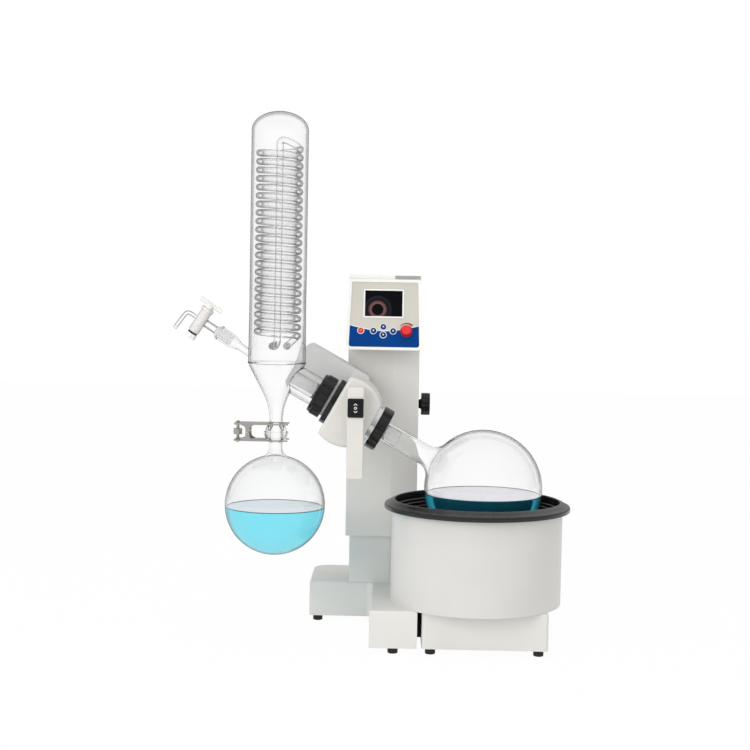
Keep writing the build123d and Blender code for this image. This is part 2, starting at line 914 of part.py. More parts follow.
casing_length = casing_start - casing_end
casing_height = casing_high - casing_low
casing_middle = (casing_start + casing_end) / 2
casing_plane = Plane(origin=along(casing_middle, motor_t, plate_back), x_dir=axis_dir, z_dir=(0, 1, 0))
with BuildPart() as motor_casing:
    with BuildSketch(casing_plane):
        RectangleRounded(casing_length, casing_height, casing_round)
    extrude(amount=casing_back - plate_back)
    fillet(motor_casing.faces().sort_by(Axis.Y)[-1].edges(), casing_wall)
    with BuildSketch(casing_plane.offset(casing_wall)):
        RectangleRounded(
            casing_length - 2 * casing_wall,
            casing_height - 2 * casing_wall,
            casing_round - casing_wall,
        )
    extrude(amount=casing_back - plate_back - 2 * casing_wall, mode=Mode.SUBTRACT)
    add(belt_cutter(plate_back, casing_wall), mode=Mode.SUBTRACT)
save(motor_casing.part, "motor_casing")

motor_front = pulley_start - 2
motor_inside = casing_end + casing_wall + casing_round
with BuildPart() as drive_motor:
    with BuildSketch(Plane(origin=along(motor_inside, motor_t, motor_y), x_dir=up_dir, z_dir=axis_dir)):
        Circle(motor_radius)
    extrude(amount=motor_front - motor_inside)
    fillet(drive_motor.edges().sort_by(Axis.X)[0], 3)
    flange_face = Plane(origin=along(motor_front, motor_t, motor_y), x_dir=up_dir, z_dir=axis_dir)
    with BuildSketch(flange_face):
        Rectangle(
            casing_height - 2 * casing_wall - 2 * fit_gap,
            casing_back - plate_back - 2 * casing_wall - 2 * fit_gap,
        )
    extrude(amount=-motor_flange)
    with BuildSketch(flange_face):
        Circle(motor_shaft_radius + shaft_gap)
    extrude(amount=-3 * motor_flange, mode=Mode.SUBTRACT)
save(drive_motor.part, "drive_motor")

pulley_end = pulley_start + pulley_width
with BuildPart() as motor_pulley:
    with BuildSketch(Plane(origin=along(pulley_start, motor_t, motor_y), x_dir=up_dir, z_dir=axis_dir)):
        Circle(motor_pulley_radius)
    extrude(amount=pulley_width)
    for start in (pulley_start, pulley_end - pulley_flange):
        with BuildSketch(Plane(origin=along(start, motor_t, motor_y), x_dir=up_dir, z_dir=axis_dir)):
            Circle(motor_pulley_radius + belt_thick)
        extrude(amount=pulley_flange)
    with BuildSketch(Plane(origin=along(pulley_start, motor_t, motor_y), x_dir=up_dir, z_dir=axis_dir)):
        Circle(motor_shaft_radius)
    extrude(amount=-2 * motor_flange)
save(motor_pulley.part, "motor_pulley")

belt_face = rotor_face(belt_centre - belt_width / 2)
motor_spot = (motor_t, axis_y - motor_y)
with BuildPart() as drive_belt:
    for grow, mode in ((belt_thick, Mode.ADD), (0, Mode.SUBTRACT)):
        with BuildSketch(belt_face):
            Circle(rotor_pulley_radius + fit_gap + grow)
            with Locations(motor_spot):
                Circle(motor_pulley_radius + fit_gap + grow)
            make_hull()
        extrude(amount=belt_width, mode=mode)
save(drive_belt.part, "drive_belt")

with BuildPart() as rotor_bearings:
    for start in (left_seat, right_seat - bearing_width):
        with BuildSketch(rotor_face(start)):
            Circle(bearing_radius)
            Circle(rotor_radius + shaft_gap, mode=Mode.SUBTRACT)
        extrude(amount=bearing_width)
save(rotor_bearings.part, "rotor_bearings")

# Rotor
collar_start = right_flat + running_gap
bead_end = flask_nut_end - nut_lip
bead_start = bead_end - 2 * flask_bead
neck_seat = flask_neck_start - fit_gap
with BuildPart() as rotor_sleeve:
    with BuildSketch(rotor_section):
        Polygon(
            (vapour_radius + shaft_gap, rotor_left),
            (rotor_radius, rotor_left),
            (rotor_radius, pulley_start),
            (rotor_pulley_radius + belt_thick, pulley_start),
            (rotor_pulley_radius + belt_thick, pulley_start + pulley_flange),
            (rotor_pulley_radius, pulley_start + pulley_flange),
            (rotor_pulley_radius, pulley_end - pulley_flange),
            (rotor_pulley_radius + belt_thick, pulley_end - pulley_flange),
            (rotor_pulley_radius + belt_thick, pulley_end),
            (rotor_radius, pulley_end),
            (rotor_radius, collar_start),
            (collar_radius, collar_start),
            (collar_radius, collar_end),
            (thread_radius, collar_end),
            (thread_radius, bead_start),
            (flask_neck_radius + fit_gap, bead_start),
            (flask_neck_radius + fit_gap, neck_seat),
            (vapour_radius + shaft_gap, neck_seat),
            align=None,
        )
    revolve(axis=rotor_axis)
save(rotor_sleeve.part, "rotor_sleeve")

with BuildPart() as flask_nut:
    with BuildSketch(rotor_face(collar_end)):
        Circle(flask_nut_radius)
    extrude(amount=flask_nut_end - collar_end)
    fillet(flask_nut.edges(), 2)
    for step in range(nut_lobes):
        turn = radians(360 / nut_lobes * step)
        out = flask_nut_radius + lobe_radius - 3
        with BuildSketch(rotor_face(collar_end)):
            with Locations((out * cos(turn), out * sin(turn))):
                Circle(lobe_radius)
        extrude(amount=flask_nut_end - collar_end, mode=Mode.SUBTRACT)
    with BuildSketch(rotor_section):
        Polygon(
            (0, collar_end),
            (thread_radius + fit_gap, collar_end),
            (thread_radius + fit_gap, bead_end + fit_gap),
            (flask_neck_radius + running_gap, bead_end + fit_gap),
            (flask_neck_radius + running_gap, flask_nut_end),
            (0, flask_nut_end),
            align=None,
        )
    revolve(axis=rotor_axis, mode=Mode.SUBTRACT)
save(flask_nut.part, "flask_nut")


def sphere_reach(radius, neck):
    return sqrt(radius * radius - neck * neck)


with BuildPart() as evaporating_flask:
    with BuildSketch(rotor_section):
        Polygon(
            (0, flask_neck_start),
            (flask_neck_radius, flask_neck_start),
            (flask_neck_radius, bead_start + fit_gap),
            (flask_neck_radius + flask_bead, bead_start + fit_gap),
            (flask_neck_radius + flask_bead, bead_end),
            (flask_neck_radius, bead_end),
            (flask_neck_radius, flask_s),
            (0, flask_s),
            align=None,
        )
    revolve(axis=rotor_axis)
    with Locations(flask_centre):
        Sphere(flask_radius)
    joint_s = flask_s - sphere_reach(flask_radius, flask_neck_radius)
    rings = evaporating_flask.edges().filter_by(GeomType.CIRCLE)
    fillet(rings.sort_by_distance(along(joint_s))[0], flask_fillet)
    with BuildSketch(rotor_section):
        Polygon(
            (0, flask_neck_start),
            (flask_neck_radius - flask_wall, flask_neck_start),
            (flask_neck_radius - flask_wall, flask_s),
            (0, flask_s),
            align=None,
        )
    revolve(axis=rotor_axis, mode=Mode.SUBTRACT)
    with Locations(flask_centre):
        Sphere(flask_radius - flask_wall, mode=Mode.SUBTRACT)
save(evaporating_flask.part, "evaporating_flask")


def liquid(name, centre, radius, level):
    with BuildPart() as pool:
        with Locations(centre):
            Sphere(radius)
        split(bisect_by=Plane.XY.offset(level), keep=Keep.BOTTOM)
    save(pool.part, name)


liquid("evaporating_liquid", flask_centre, flask_radius - flask_wall - liquid_gap, flask_level)

with BuildPart() as vapour_tube:
    with BuildSketch(rotor_section):
        Polygon(
            (vapour_radius - vapour_wall, vapour_left),
            (vapour_radius, vapour_left),
            (vapour_radius, vapour_right),
            (vapour_radius - vapour_wall, vapour_right),
            align=None,
        )
    revolve(axis=rotor_axis)
    split(bisect_by=Plane(origin=along(vapour_left + vapour_radius), z_dir=(1, 0, 0)), keep=Keep.TOP)
save(vapour_tube.part, "vapour_tube")

seal_end = left_seat - running_gap
with BuildPart() as vacuum_seal:
    with BuildSketch(rotor_section):
        Polygon(
            (vapour_radius + shaft_gap, spigot_end + arm_flange),
            (spigot_bore, spigot_end + arm_flange),
            (spigot_bore, seal_end),
            (vapour_radius + shaft_gap, seal_end),
            align=None,
        )
    revolve(axis=rotor_axis)
save(vacuum_seal.part, "vacuum_seal")

with BuildPart() as flange_ring:
    with BuildSketch(rotor_face(left_flat - ring_thick)):
        Circle(ring_radius)
        Circle(spigot_radius + fit_gap, mode=Mode.SUBTRACT)
    extrude(amount=ring_thick)
    fillet(flange_ring.edges().group_by(rotor_axis)[0].sort_by(SortBy.LENGTH)[-1], 1)
save(flange_ring.part, "flange_ring")

arm_end = spigot_end - fit_gap
lip_end = arm_end - arm_flange - fit_gap
with BuildPart() as condenser_nut:
    with BuildSketch(rotor_face(condenser_nut_start)):
        Circle(condenser_nut_radius - flute_depth)
    extrude(amount=nut_lip)
    with BuildSketch(rotor_face(condenser_nut_start + nut_lip)):
        Circle(condenser_nut_radius)
        with PolarLocations(condenser_nut_radius + flute_radius - flute_depth, nut_flutes):
            Circle(flute_radius, mode=Mode.SUBTRACT)
    extrude(amount=condenser_nut_end - condenser_nut_start - nut_lip)
    with BuildSketch(rotor_section):
        Polygon(
            (0, condenser_nut_start),
            (arm_radius + running_gap, condenser_nut_start),
            (arm_radius + running_gap, lip_end),
            (spigot_radius + fit_gap, lip_end),
            (spigot_radius + fit_gap, condenser_nut_end),
            (0, condenser_nut_end),
            align=None,
        )
    revolve(axis=rotor_axis, mode=Mode.SUBTRACT)
save(condenser_nut.part, "condenser_nut")

# Handle with the lift switch
groove_back = drum_front - handle_split + handle_groove
handle_front = drum_front - handle_thick
handle_height = handle_top - handle_bottom
handle_z = (handle_top + handle_bottom) / 2
switch_cut_width = switch_width - 2 * switch_frame
switch_cut_height = switch_height - 2 * switch_frame
switch_floor = handle_front + switch_depth - switch_lip
with BuildPart() as handle_grip:
    with BuildSketch(front_plane(drum_front)):
        with Locations((handle_centre, handle_z)):
            RectangleRounded(handle_width, handle_height, handle_round)
    extrude(amount=handle_thick)
    fillet(handle_grip.faces().sort_by(Axis.Y)[0].edges(), handle_round / 2)
    with BuildSketch(front_plane(groove_back)):
        with Locations((handle_centre, handle_z)):
            RectangleRounded(handle_width + handle_round, handle_height + handle_round, handle_round)
            RectangleRounded(
                handle_width - 2 * handle_groove,
                handle_height - 2 * handle_groove,
                handle_round,
                mode=Mode.SUBTRACT,
            )
    extrude(amount=handle_groove, mode=Mode.SUBTRACT)
    with BuildSketch(front_plane(switch_floor)):
        with Locations((handle_centre, switch_z)):
            Rectangle(switch_cut_width + 2 * fit_gap, switch_cut_height + 2 * fit_gap)
    extrude(amount=switch_depth, mode=Mode.SUBTRACT)
save(handle_grip.part, "handle_grip")

rocker_width = switch_cut_width - 2 * switch_lip
rocker_height = switch_cut_height - 2 * switch_lip
with BuildPart() as rocker_frame:
    with BuildSketch(front_plane(handle_front)):
        with Locations((handle_centre, switch_z)):
            RectangleRounded(switch_width, switch_height, switch_lip)
    extrude(amount=switch_lip)
    with BuildSketch(front_plane(handle_front)):
        with Locations((handle_centre, switch_z)):
            Rectangle(switch_cut_width, switch_cut_height)
    extrude(amount=-switch_depth + switch_lip)
    with BuildSketch(front_plane(switch_floor - switch_lip)):
        with Locations((handle_centre, switch_z)):
            Rectangle(rocker_width + 2 * running_gap, rocker_height + 2 * running_gap)
    extrude(amount=switch_depth, mode=Mode.SUBTRACT)
save(rocker_frame.part, "switch_frame")

# The rocker is a drum segment that turns about its own centre line
with BuildPart() as lift_rocker:
    with BuildSketch(Plane.YZ.offset(handle_centre - rocker_width / 2)):
        with Locations((handle_front, switch_z)):
            Circle(rocker_height / 2)
    extrude(amount=rocker_width)
    split(bisect_by=front_plane(handle_front - rocker_proud), keep=Keep.BOTTOM)
    split(bisect_by=front_plane(switch_floor - switch_lip - rocker_relief), keep=Keep.TOP)
save(lift_rocker.part, "lift_rocker")

# Condenser: outer shapes united, then the hollow taken out
condenser_x = along(condenser_s).X
condenser_axis = Axis((condenser_x, axis_y, 0), (0, 0, 1))
condenser_section = upright_section(condenser_x, axis_y)
dome_z = condenser_top - dome_height
seam_bottom = seam_top - seam_height
ball_cut = ball_z - ball_radius * 0.7
inlet_lean = radians(inlet_angle)
inlet_dir = Vector(-cos(inlet_lean), 0, sin(inlet_lean))
barrel_dir = Vector(sin(inlet_lean), 0, cos(inlet_lean))
inlet_root = Vector(condenser_x - condenser_radius, axis_y, inlet_wall_z)


def inlet_face(distance):
    return Plane(origin=inlet_root + inlet_dir * distance, x_dir=(0, 1, 0), z_dir=inlet_dir)


def dome_middle(radius, top):
    height = top - dome_z
    sphere = (radius * radius + height * height) / (2 * height)
    half = asin(radius / sphere) / 2
    return (sphere * sin(half), top - sphere + sphere * cos(half))


def condenser_body(shrink):
    with BuildPart() as body:
        with BuildSketch(condenser_section):
            with BuildLine():
                wide = condenser_radius - shrink
                thin = neck_radius - shrink
                Polyline(
                    (0, ball_cut),
                    (thin, ball_cut),
                    (thin, cone_bottom),
                    (wide, seam_bottom),
                    (wide + seam_bulge, (seam_top + seam_bottom) / 2),
                    (wide, seam_top),
                    (wide, dome_z),
                )
                ThreePointArc((wide, dome_z), dome_middle(wide, condenser_top - shrink), (0, condenser_top - shrink))
                Line((0, condenser_top - shrink), (0, ball_cut))
            make_face()
        revolve(axis=condenser_axis)
        with BuildSketch(rotor_face(condenser_s)):
            Circle(arm_radius - shrink)
        extrude(amount=arm_end - condenser_s)
        with BuildSketch(inlet_face(-condenser_radius / 2)):
            Circle(inlet_tube_radius - shrink)
        extrude(amount=condenser_radius / 2 + socket_start)
    return body.part


port_wall = sqrt(condenser_radius**2 - port_spread**2)
port_profile = [
    (0, 0),
    (port_radius, 0),
    (port_radius, port_length * 0.5),
    (port_radius + port_barb, port_length * 0.6),
    (port_radius, port_length * 0.75),
    (port_radius + port_barb, port_length * 0.75),
    (port_radius, port_length),
    (0, port_length),
]
with BuildPart() as condenser_jacket:
    add(condenser_body(0))
    with Locations((condenser_x, axis_y, ball_z)):
        Sphere(ball_radius)
    split(bisect_by=Plane.XY.offset(ball_cut), keep=Keep.TOP)
    with BuildSketch(rotor_face(arm_end - arm_flange)):
        Circle(spigot_radius - running_gap)
    extrude(amount=arm_flange)
    with BuildSketch(inlet_face(socket_start)):
        Circle(socket_radius)
    extrude(amount=socket_end - socket_start)
    for side in (-1, 1):
        x = condenser_x + side * port_spread
        root = axis_y + port_wall - glass_wall
        with BuildSketch(Plane(origin=(x, root, port_z), x_dir=(1, 0, 0), z_dir=(0, 0, 1))):
            Polygon(*port_profile, align=None)
        revolve(axis=Axis((x, root, port_z), (0, 1, 0)))
    add(condenser_body(glass_wall), mode=Mode.SUBTRACT)
    with BuildSketch(inlet_face(socket_start + glass_wall)):
        Circle(socket_radius - glass_wall)
    extrude(amount=socket_end - socket_start, mode=Mode.SUBTRACT)
    with BuildSketch(inlet_face(socket_start - glass_wall)):
        Circle(inlet_tube_radius - glass_wall)
    extrude(amount=3 * glass_wall, mode=Mode.SUBTRACT)
    with BuildSketch(front_plane(axis_y + condenser_radius + port_length)):
        with Locations((condenser_x - port_spread, port_z), (condenser_x + port_spread, port_z)):
            Circle(port_radius - glass_wall)
    extrude(amount=condenser_radius, mode=Mode.SUBTRACT)
save(condenser_jacket.part, "condenser_jacket")

# The coil winds up from one hose port and comes back down the middle to the other
coil_top = coil_bottom + coil_pitch * coil_turns
inner_radius = condenser_radius - glass_wall
port_inside = axis_y + sqrt(inner_radius**2 - (port_spread + coil_tube) ** 2) - running_gap
middle_top = Vector(condenser_x, axis_y, coil_top + coil_rise)
middle_bottom = Vector(condenser_x, axis_y, port_z + coil_tube)
with BuildPart() as cooling_coil:
    with BuildLine() as winding:
        Helix(
            coil_pitch,
            coil_pitch * coil_turns,
            coil_radius,
            center=(condenser_x, axis_y, coil_bottom),
            lefthand=True,
        )
    with BuildSketch(Plane(origin=winding.line @ 0, z_dir=winding.line % 0)):
        Circle(coil_tube)
    sweep(path=winding.wires()[0], is_frenet=True)
    with BuildLine() as upper_end:
        Spline(winding.line @ 1, middle_top, tangents=[winding.line % 1, (0, 0, -1)])
        Line(middle_top, middle_bottom)
    with BuildSketch(Plane(origin=winding.line @ 1, z_dir=winding.line % 1)):
        Circle(coil_tube)
    sweep(path=upper_end.wires()[0])
    with BuildLine() as lower_end:
        Spline(
            winding.line @ 0,
            (condenser_x + port_spread, port_inside, port_z),
            tangents=[(winding.line % 0) * -1, (0, 1, 0)],
        )
    with BuildSketch(Plane(origin=winding.line @ 0, z_dir=(winding.line % 0) * -1)):
        Circle(coil_tube)
    sweep(path=lower_end.wires()[0])
    with BuildLine() as return_end:
        Spline(middle_bottom, (condenser_x - port_spread, port_inside, port_z), tangents=[(0, 0, -1), (0, 1, 0)])
    with BuildSketch(Plane(origin=middle_bottom, z_dir=(0, 0, -1))):
        Circle(coil_tube)
    sweep(path=return_end.wires()[0])
save(cooling_coil.part, "cooling_coil")

# Inlet valve: a ground cone, a barrel across it and a bent tube
barrel_centre = inlet_root + inlet_dir * barrel_s
bend_point = barrel_centre + inlet_dir * bent_tube_run
tube_tip = bend_point + Vector(-bent_tube_drop, 0, -bent_tube_drop * 1.35)


def barrel_face(distance):
    return Plane(origin=barrel_centre + barrel_dir * distance, x_dir=(0, 1, 0), z_dir=barrel_dir)


def bent_tube(radius):
    with BuildPart() as tube:
        with BuildLine() as tube_path:
            FilletPolyline(barrel_centre, bend_point, tube_tip, radius=bent_tube_round)
        with BuildSketch(Plane(origin=barrel_centre, x_dir=(0, 1, 0), z_dir=inlet_dir)):
            Circle(radius)
        sweep(path=tube_path.wires()[0])
    return tube.part


with BuildPart() as inlet_valve:
    with BuildSketch(barrel_face(-barrel_length / 2)):
        Circle(barrel_radius)
    extrude(amount=barrel_length)
    with BuildSketch(inlet_face(socket_end)):
        Circle(inlet_tube_radius)
    extrude(amount=barrel_s - socket_end)
    with BuildSketch(inlet_face(socket_start + glass_wall + running_gap)):
        Circle(socket_radius - glass_wall - fit_gap)
    extrude(amount=socket_end - socket_start)
    add(bent_tube(bent_tube_radius))
    add(bent_tube(bent_tube_radius / 2), mode=Mode.SUBTRACT)
    with BuildSketch(inlet_face(socket_start)):
        Circle(inlet_tube_radius - glass_wall)
    extrude(amount=barrel_s - socket_start, mode=Mode.SUBTRACT)
    with BuildSketch(barrel_face(-barrel_length / 2)):
        Circle(plug_radius + shaft_gap)
    extrude(amount=barrel_length, mode=Mode.SUBTRACT)
save(inlet_valve.part, "inlet_valve")

half_barrel = barrel_length / 2 + running_gap
with BuildPart() as stopcock_plug:
    with BuildSketch(barrel_face(-half_barrel - seal_thick - end_nut_length)):
        Circle(plug_radius)
    extrude(amount=2 * half_barrel + seal_thick + end_nut_length)
    with BuildSketch(barrel_face(half_barrel)):
        Circle(plug_head_radius)
    extrude(amount=plug_head)
    bar_start = barrel_centre + barrel_dir * (half_barrel + plug_head) - inlet_dir * (plug_bar / 2)
    with BuildSketch(Plane(origin=bar_start, x_dir=(0, 1, 0), z_dir=inlet_dir)):
        Circle(plug_bar_radius)
    extrude(amount=plug_bar)
    fillet(stopcock_plug.edges().filter_by(GeomType.CIRCLE).sort_by(Axis(bar_start, inlet_dir))[-1], 1)
    with BuildSketch(inlet_face(0)):
        Circle(bent_tube_radius / 2)
    extrude(amount=barrel_s + barrel_radius, mode=Mode.SUBTRACT)
save(stopcock_plug.part, "stopcock_plug")

with BuildPart() as stopcock_nut:
    with BuildSketch(barrel_face(-half_barrel)):
        Circle(plug_head_radius)
        Circle(plug_radius + shaft_gap, mode=Mode.SUBTRACT)
    extrude(amount=-seal_thick)
    with BuildSketch(barrel_face(-half_barrel - seal_thick)):
        RegularPolygon(barrel_radius, nut_lobes)
        Circle(plug_radius + shaft_gap, mode=Mode.SUBTRACT)
    extrude(amount=-end_nut_length)
save(stopcock_nut.part, "stopcock_nut")

# Receiving flask with the cup of the ball joint
cup_radius = ball_radius + running_gap + glass_wall
receiver_centre = (condenser_x, axis_y, receiver_z)
with BuildPart() as receiving_flask:
    with Locations((condenser_x, axis_y, ball_z)):
        Sphere(cup_radius)
    split(bisect_by=Plane.XY.offset(ball_z), keep=Keep.BOTTOM)
    with BuildSketch(Plane.XY.offset(receiver_z)):
        with Locations((condenser_x, axis_y)):
            Circle(neck_radius)
    extrude(amount=ball_z - ball_radius - receiver_z)
    with Locations(receiver_centre):
        Sphere(receiver_radius)
    joint_z = receiver_z + sphere_reach(receiver_radius, neck_radius)
    rings = receiving_flask.edges().filter_by(GeomType.CIRCLE)
    fillet(rings.sort_by_distance((condenser_x, axis_y, joint_z))[0], receiver_fillet)
    with BuildSketch(Plane.XY.offset(receiver_z)):
        with Locations((condenser_x, axis_y)):
            Circle(neck_radius - glass_wall)
    extrude(amount=ball_z - receiver_z, mode=Mode.SUBTRACT)
    with Locations(receiver_centre):
        Sphere(receiver_radius - glass_wall, mode=Mode.SUBTRACT)
    with Locations((condenser_x, axis_y, ball_z)):
        Sphere(ball_radius + running_gap, mode=Mode.SUBTRACT)
save(receiving_flask.part, "receiving_flask")

liquid("collected_liquid", receiver_centre, receiver_radius - glass_wall - liquid_gap, receiver_level)

# Clamp: two forked plates round the ball joint, folded to a web, spread at the tail by a screw
screw_place = (condenser_x - clamp_screw_back, axis_y)


def jaw(name, side, held_radius):
    slot = sphere_reach(held_radius, jaw_half_height - jaw_thick / 2) + running_gap
    with BuildPart() as plate:
        with BuildSketch(Plane.XY.offset(ball_z + side * jaw_half_height - jaw_thick / 2)):
            with Locations((condenser_x + (jaw_reach - jaw_tail) / 2, axis_y)):
                Rectangle(jaw_reach + jaw_tail, jaw_width)
            with Locations((condenser_x, axis_y)):
                Circle(slot, mode=Mode.SUBTRACT)
            with Locations((condenser_x + jaw_reach, axis_y)):
                Rectangle(2 * jaw_reach, 2 * slot, mode=Mode.SUBTRACT)
            with Locations(screw_place):
                Circle(clamp_screw_radius + shaft_gap, mode=Mode.SUBTRACT)
        extrude(amount=jaw_thick)
        with BuildSketch(Plane.XY.offset(ball_z + side * running_gap)):
            for edge in (-1, 1):
                with Locations((condenser_x - jaw_web, axis_y + edge * (jaw_width - jaw_thick) / 2)):
                    Rectangle(jaw_web_width, jaw_thick)
        extrude(amount=side * (jaw_half_height - running_gap))
    save(plate.part, name)


jaw("clamp_upper_jaw", 1, ball_radius)
jaw("clamp_lower_jaw", -1, cup_radius)

screw_reach = jaw_half_height + 2 * jaw_thick
with BuildPart() as clamp_screw:
    with BuildSketch(Plane.XY.offset(ball_z - screw_reach)):
        with Locations(screw_place):
            Circle(clamp_screw_radius)
    extrude(amount=2 * screw_reach)
    with BuildSketch(Plane.XY.offset(ball_z - thumb_height / 2)):
        with Locations(screw_place):
            Circle(thumb_radius)
    extrude(amount=thumb_height)
save(clamp_screw.part, "clamp_screw")
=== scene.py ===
import bpy
import json
from math import acos, asin, atan2, cos, degrees, pi, radians, sin, sqrt, tan
from mathutils import Euler, Matrix, Vector

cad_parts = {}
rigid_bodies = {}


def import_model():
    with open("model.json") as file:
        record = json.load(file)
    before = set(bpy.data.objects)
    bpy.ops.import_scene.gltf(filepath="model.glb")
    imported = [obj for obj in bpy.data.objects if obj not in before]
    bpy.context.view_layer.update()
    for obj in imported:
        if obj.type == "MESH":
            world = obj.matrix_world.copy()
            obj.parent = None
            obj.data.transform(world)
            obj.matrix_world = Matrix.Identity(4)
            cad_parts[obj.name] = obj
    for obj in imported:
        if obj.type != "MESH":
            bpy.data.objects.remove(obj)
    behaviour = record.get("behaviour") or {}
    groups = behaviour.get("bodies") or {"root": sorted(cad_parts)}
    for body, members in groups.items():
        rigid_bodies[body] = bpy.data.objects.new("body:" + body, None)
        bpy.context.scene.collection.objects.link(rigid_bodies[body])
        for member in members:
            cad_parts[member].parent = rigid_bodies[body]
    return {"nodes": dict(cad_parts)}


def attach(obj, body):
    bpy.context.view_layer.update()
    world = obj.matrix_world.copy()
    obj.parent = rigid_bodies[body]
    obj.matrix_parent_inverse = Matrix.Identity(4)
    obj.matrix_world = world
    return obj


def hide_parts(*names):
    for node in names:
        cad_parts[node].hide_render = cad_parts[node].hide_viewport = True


bpy.ops.object.select_all(action="SELECT")
bpy.ops.object.delete()
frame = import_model()
bpy.context.scene.view_settings.view_transform = "Standard"
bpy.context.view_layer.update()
nodes = frame["nodes"]
mm = 0.001
print("frame loaded:", len(nodes), "nodes")

# the rotor line and the condenser line, as the solids have them
rotor = {"head": Vector((-40.0, -68.5, 370.0)) * mm, "tilt": radians(29.1), "condenserAt": -130.5}
rotor["along"] = Vector((cos(rotor["tilt"]), 0, -sin(rotor["tilt"])))
rotor["up"] = Vector((sin(rotor["tilt"]), 0, cos(rotor["tilt"])))
condenserFoot = rotor["head"] + rotor["along"] * (rotor["condenserAt"] * mm)
condenserX, axisY = condenserFoot.x, condenserFoot.y
condenserLine = Vector((condenserX, axisY, 0))
upright = Vector((0, 0, 1))
merge = 0.000002


def rgb(r, g, b):
    out = []
    for c in (r, g, b):
        c = c / 255
        out.append(c / 12.92 if c <= 0.04045 else ((c + 0.055) / 1.055) ** 2.4)
    return (*out, 1.0)


def startMaterial(name):
    mat = bpy.data.materials.new(name)
    mat.use_nodes = True
    tree = mat.node_tree
    shader = tree.nodes["Principled BSDF"]
    place = tree.nodes.new("ShaderNodeTexCoord")
    return mat, tree, shader, place


def fill(node, socket, value):
    node.inputs[socket].default_value = value


def noiseOn(tree, place, scale, detail):
    grain = tree.nodes.new("ShaderNodeTexNoise")
    fill(grain, "Scale", scale)
    fill(grain, "Detail", detail)
    tree.links.new(place.outputs["Object"], grain.inputs["Vector"])
    return grain


def rampOf(tree, source, stops):
    ramp = tree.nodes.new("ShaderNodeValToRGB")
    while len(ramp.color_ramp.elements) < len(stops):
        ramp.color_ramp.elements.new(0.5)
    for element, (at, colour) in zip(ramp.color_ramp.elements, stops):
        element.position = at
        element.color = colour if not isinstance(colour, float) else (colour, colour, colour, 1)
    tree.links.new(source, ramp.inputs["Fac"])
    return ramp


def bumpOn(tree, shader, source, strength, distance):
    bump = tree.nodes.new("ShaderNodeBump")
    fill(bump, "Strength", strength)
    fill(bump, "Distance", distance)
    tree.links.new(source, bump.inputs["Height"])
    tree.links.new(bump.outputs["Normal"], shader.inputs["Normal"])


def mathOf(tree, kind, first, second):
    node = tree.nodes.new("ShaderNodeMath")
    node.operation = kind
    node.use_clamp = True
    for socket, value in zip(node.inputs, (first, second)):
        if isinstance(value, float):
            socket.default_value = value
        else:
            tree.links.new(value, socket)
    return node.outputs["Value"]


def blend(tree, factor, first, second):
    mix = tree.nodes.new("ShaderNodeMixShader")
    if isinstance(factor, float):
        fill(mix, "Fac", factor)
    else:
        tree.links.new(factor, mix.inputs["Fac"])
    tree.links.new(first, mix.inputs[1])
    tree.links.new(second, mix.inputs[2])
    return mix.outputs["Shader"]


# 1 for rays that show a surface to the eye, straight or by way of glass and mirrors
def seenRays(tree):
    ray = tree.nodes.new("ShaderNodeLightPath").outputs
    mirrored = mathOf(tree, "MAXIMUM", ray["Is Glossy Ray"], ray["Is Transmission Ray"])
    return ray, mathOf(tree, "MAXIMUM", mirrored, ray["Is Camera Ray"])


# powder paint: a fine orange peel and slow colour drift
def paint(name, colour, dull=0.42, peel=900.0):
    mat, tree, shader, place = startMaterial(name)
    drift = noiseOn(tree, place, 7.0, 3.0)
    low = tuple(c * 0.965 for c in colour[:3]) + (1,)
    high = tuple(min(1, c * 1.03) for c in colour[:3]) + (1,)
    ramp = rampOf(tree, drift.outputs["Fac"], [(0.35, low), (0.65, high)])
    tree.links.new(ramp.outputs["Color"], shader.inputs["Base Color"])
    fine = noiseOn(tree, place, peel, 1.0)
    gloss = rampOf(tree, fine.outputs["Fac"], [(0.3, dull - 0.05), (0.7, dull + 0.06)])
    tree.links.new(gloss.outputs["Color"], shader.inputs["Roughness"])
    bumpOn(tree, shader, fine.outputs["Fac"], 0.25, 0.00012)
    fill(shader, "Specular IOR Level", 0.45)
    return mat


# moulded plastic or rubber: fine grain, slight mottling
def moulded(name, colour, dull=0.4, grainSize=1500.0, shine=0.5):
    mat, tree, shader, place = startMaterial(name)
    cloud = noiseOn(tree, place, 40.0, 4.0)
    spread = 0.02 if min(colour[:3]) > 0.5 else 0.1
    low = tuple(c * (1 - spread) for c in colour[:3]) + (1,)
    high = tuple(min(1, c * (1 + spread)) for c in colour[:3]) + (1,)
    ramp = rampOf(tree, cloud.outputs["Fac"], [(0.3, low), (0.7, high)])
    tree.links.new(ramp.outputs["Color"], shader.inputs["Base Color"])
    fine = noiseOn(tree, place, grainSize, 2.0)
    gloss = rampOf(tree, fine.outputs["Fac"], [(0.3, dull - 0.06), (0.7, dull + 0.08)])
    tree.links.new(gloss.outputs["Color"], shader.inputs["Roughness"])
    bumpOn(tree, shader, fine.outputs["Fac"], 0.3, 0.00008)
    fill(shader, "Specular IOR Level", shine)
    return mat


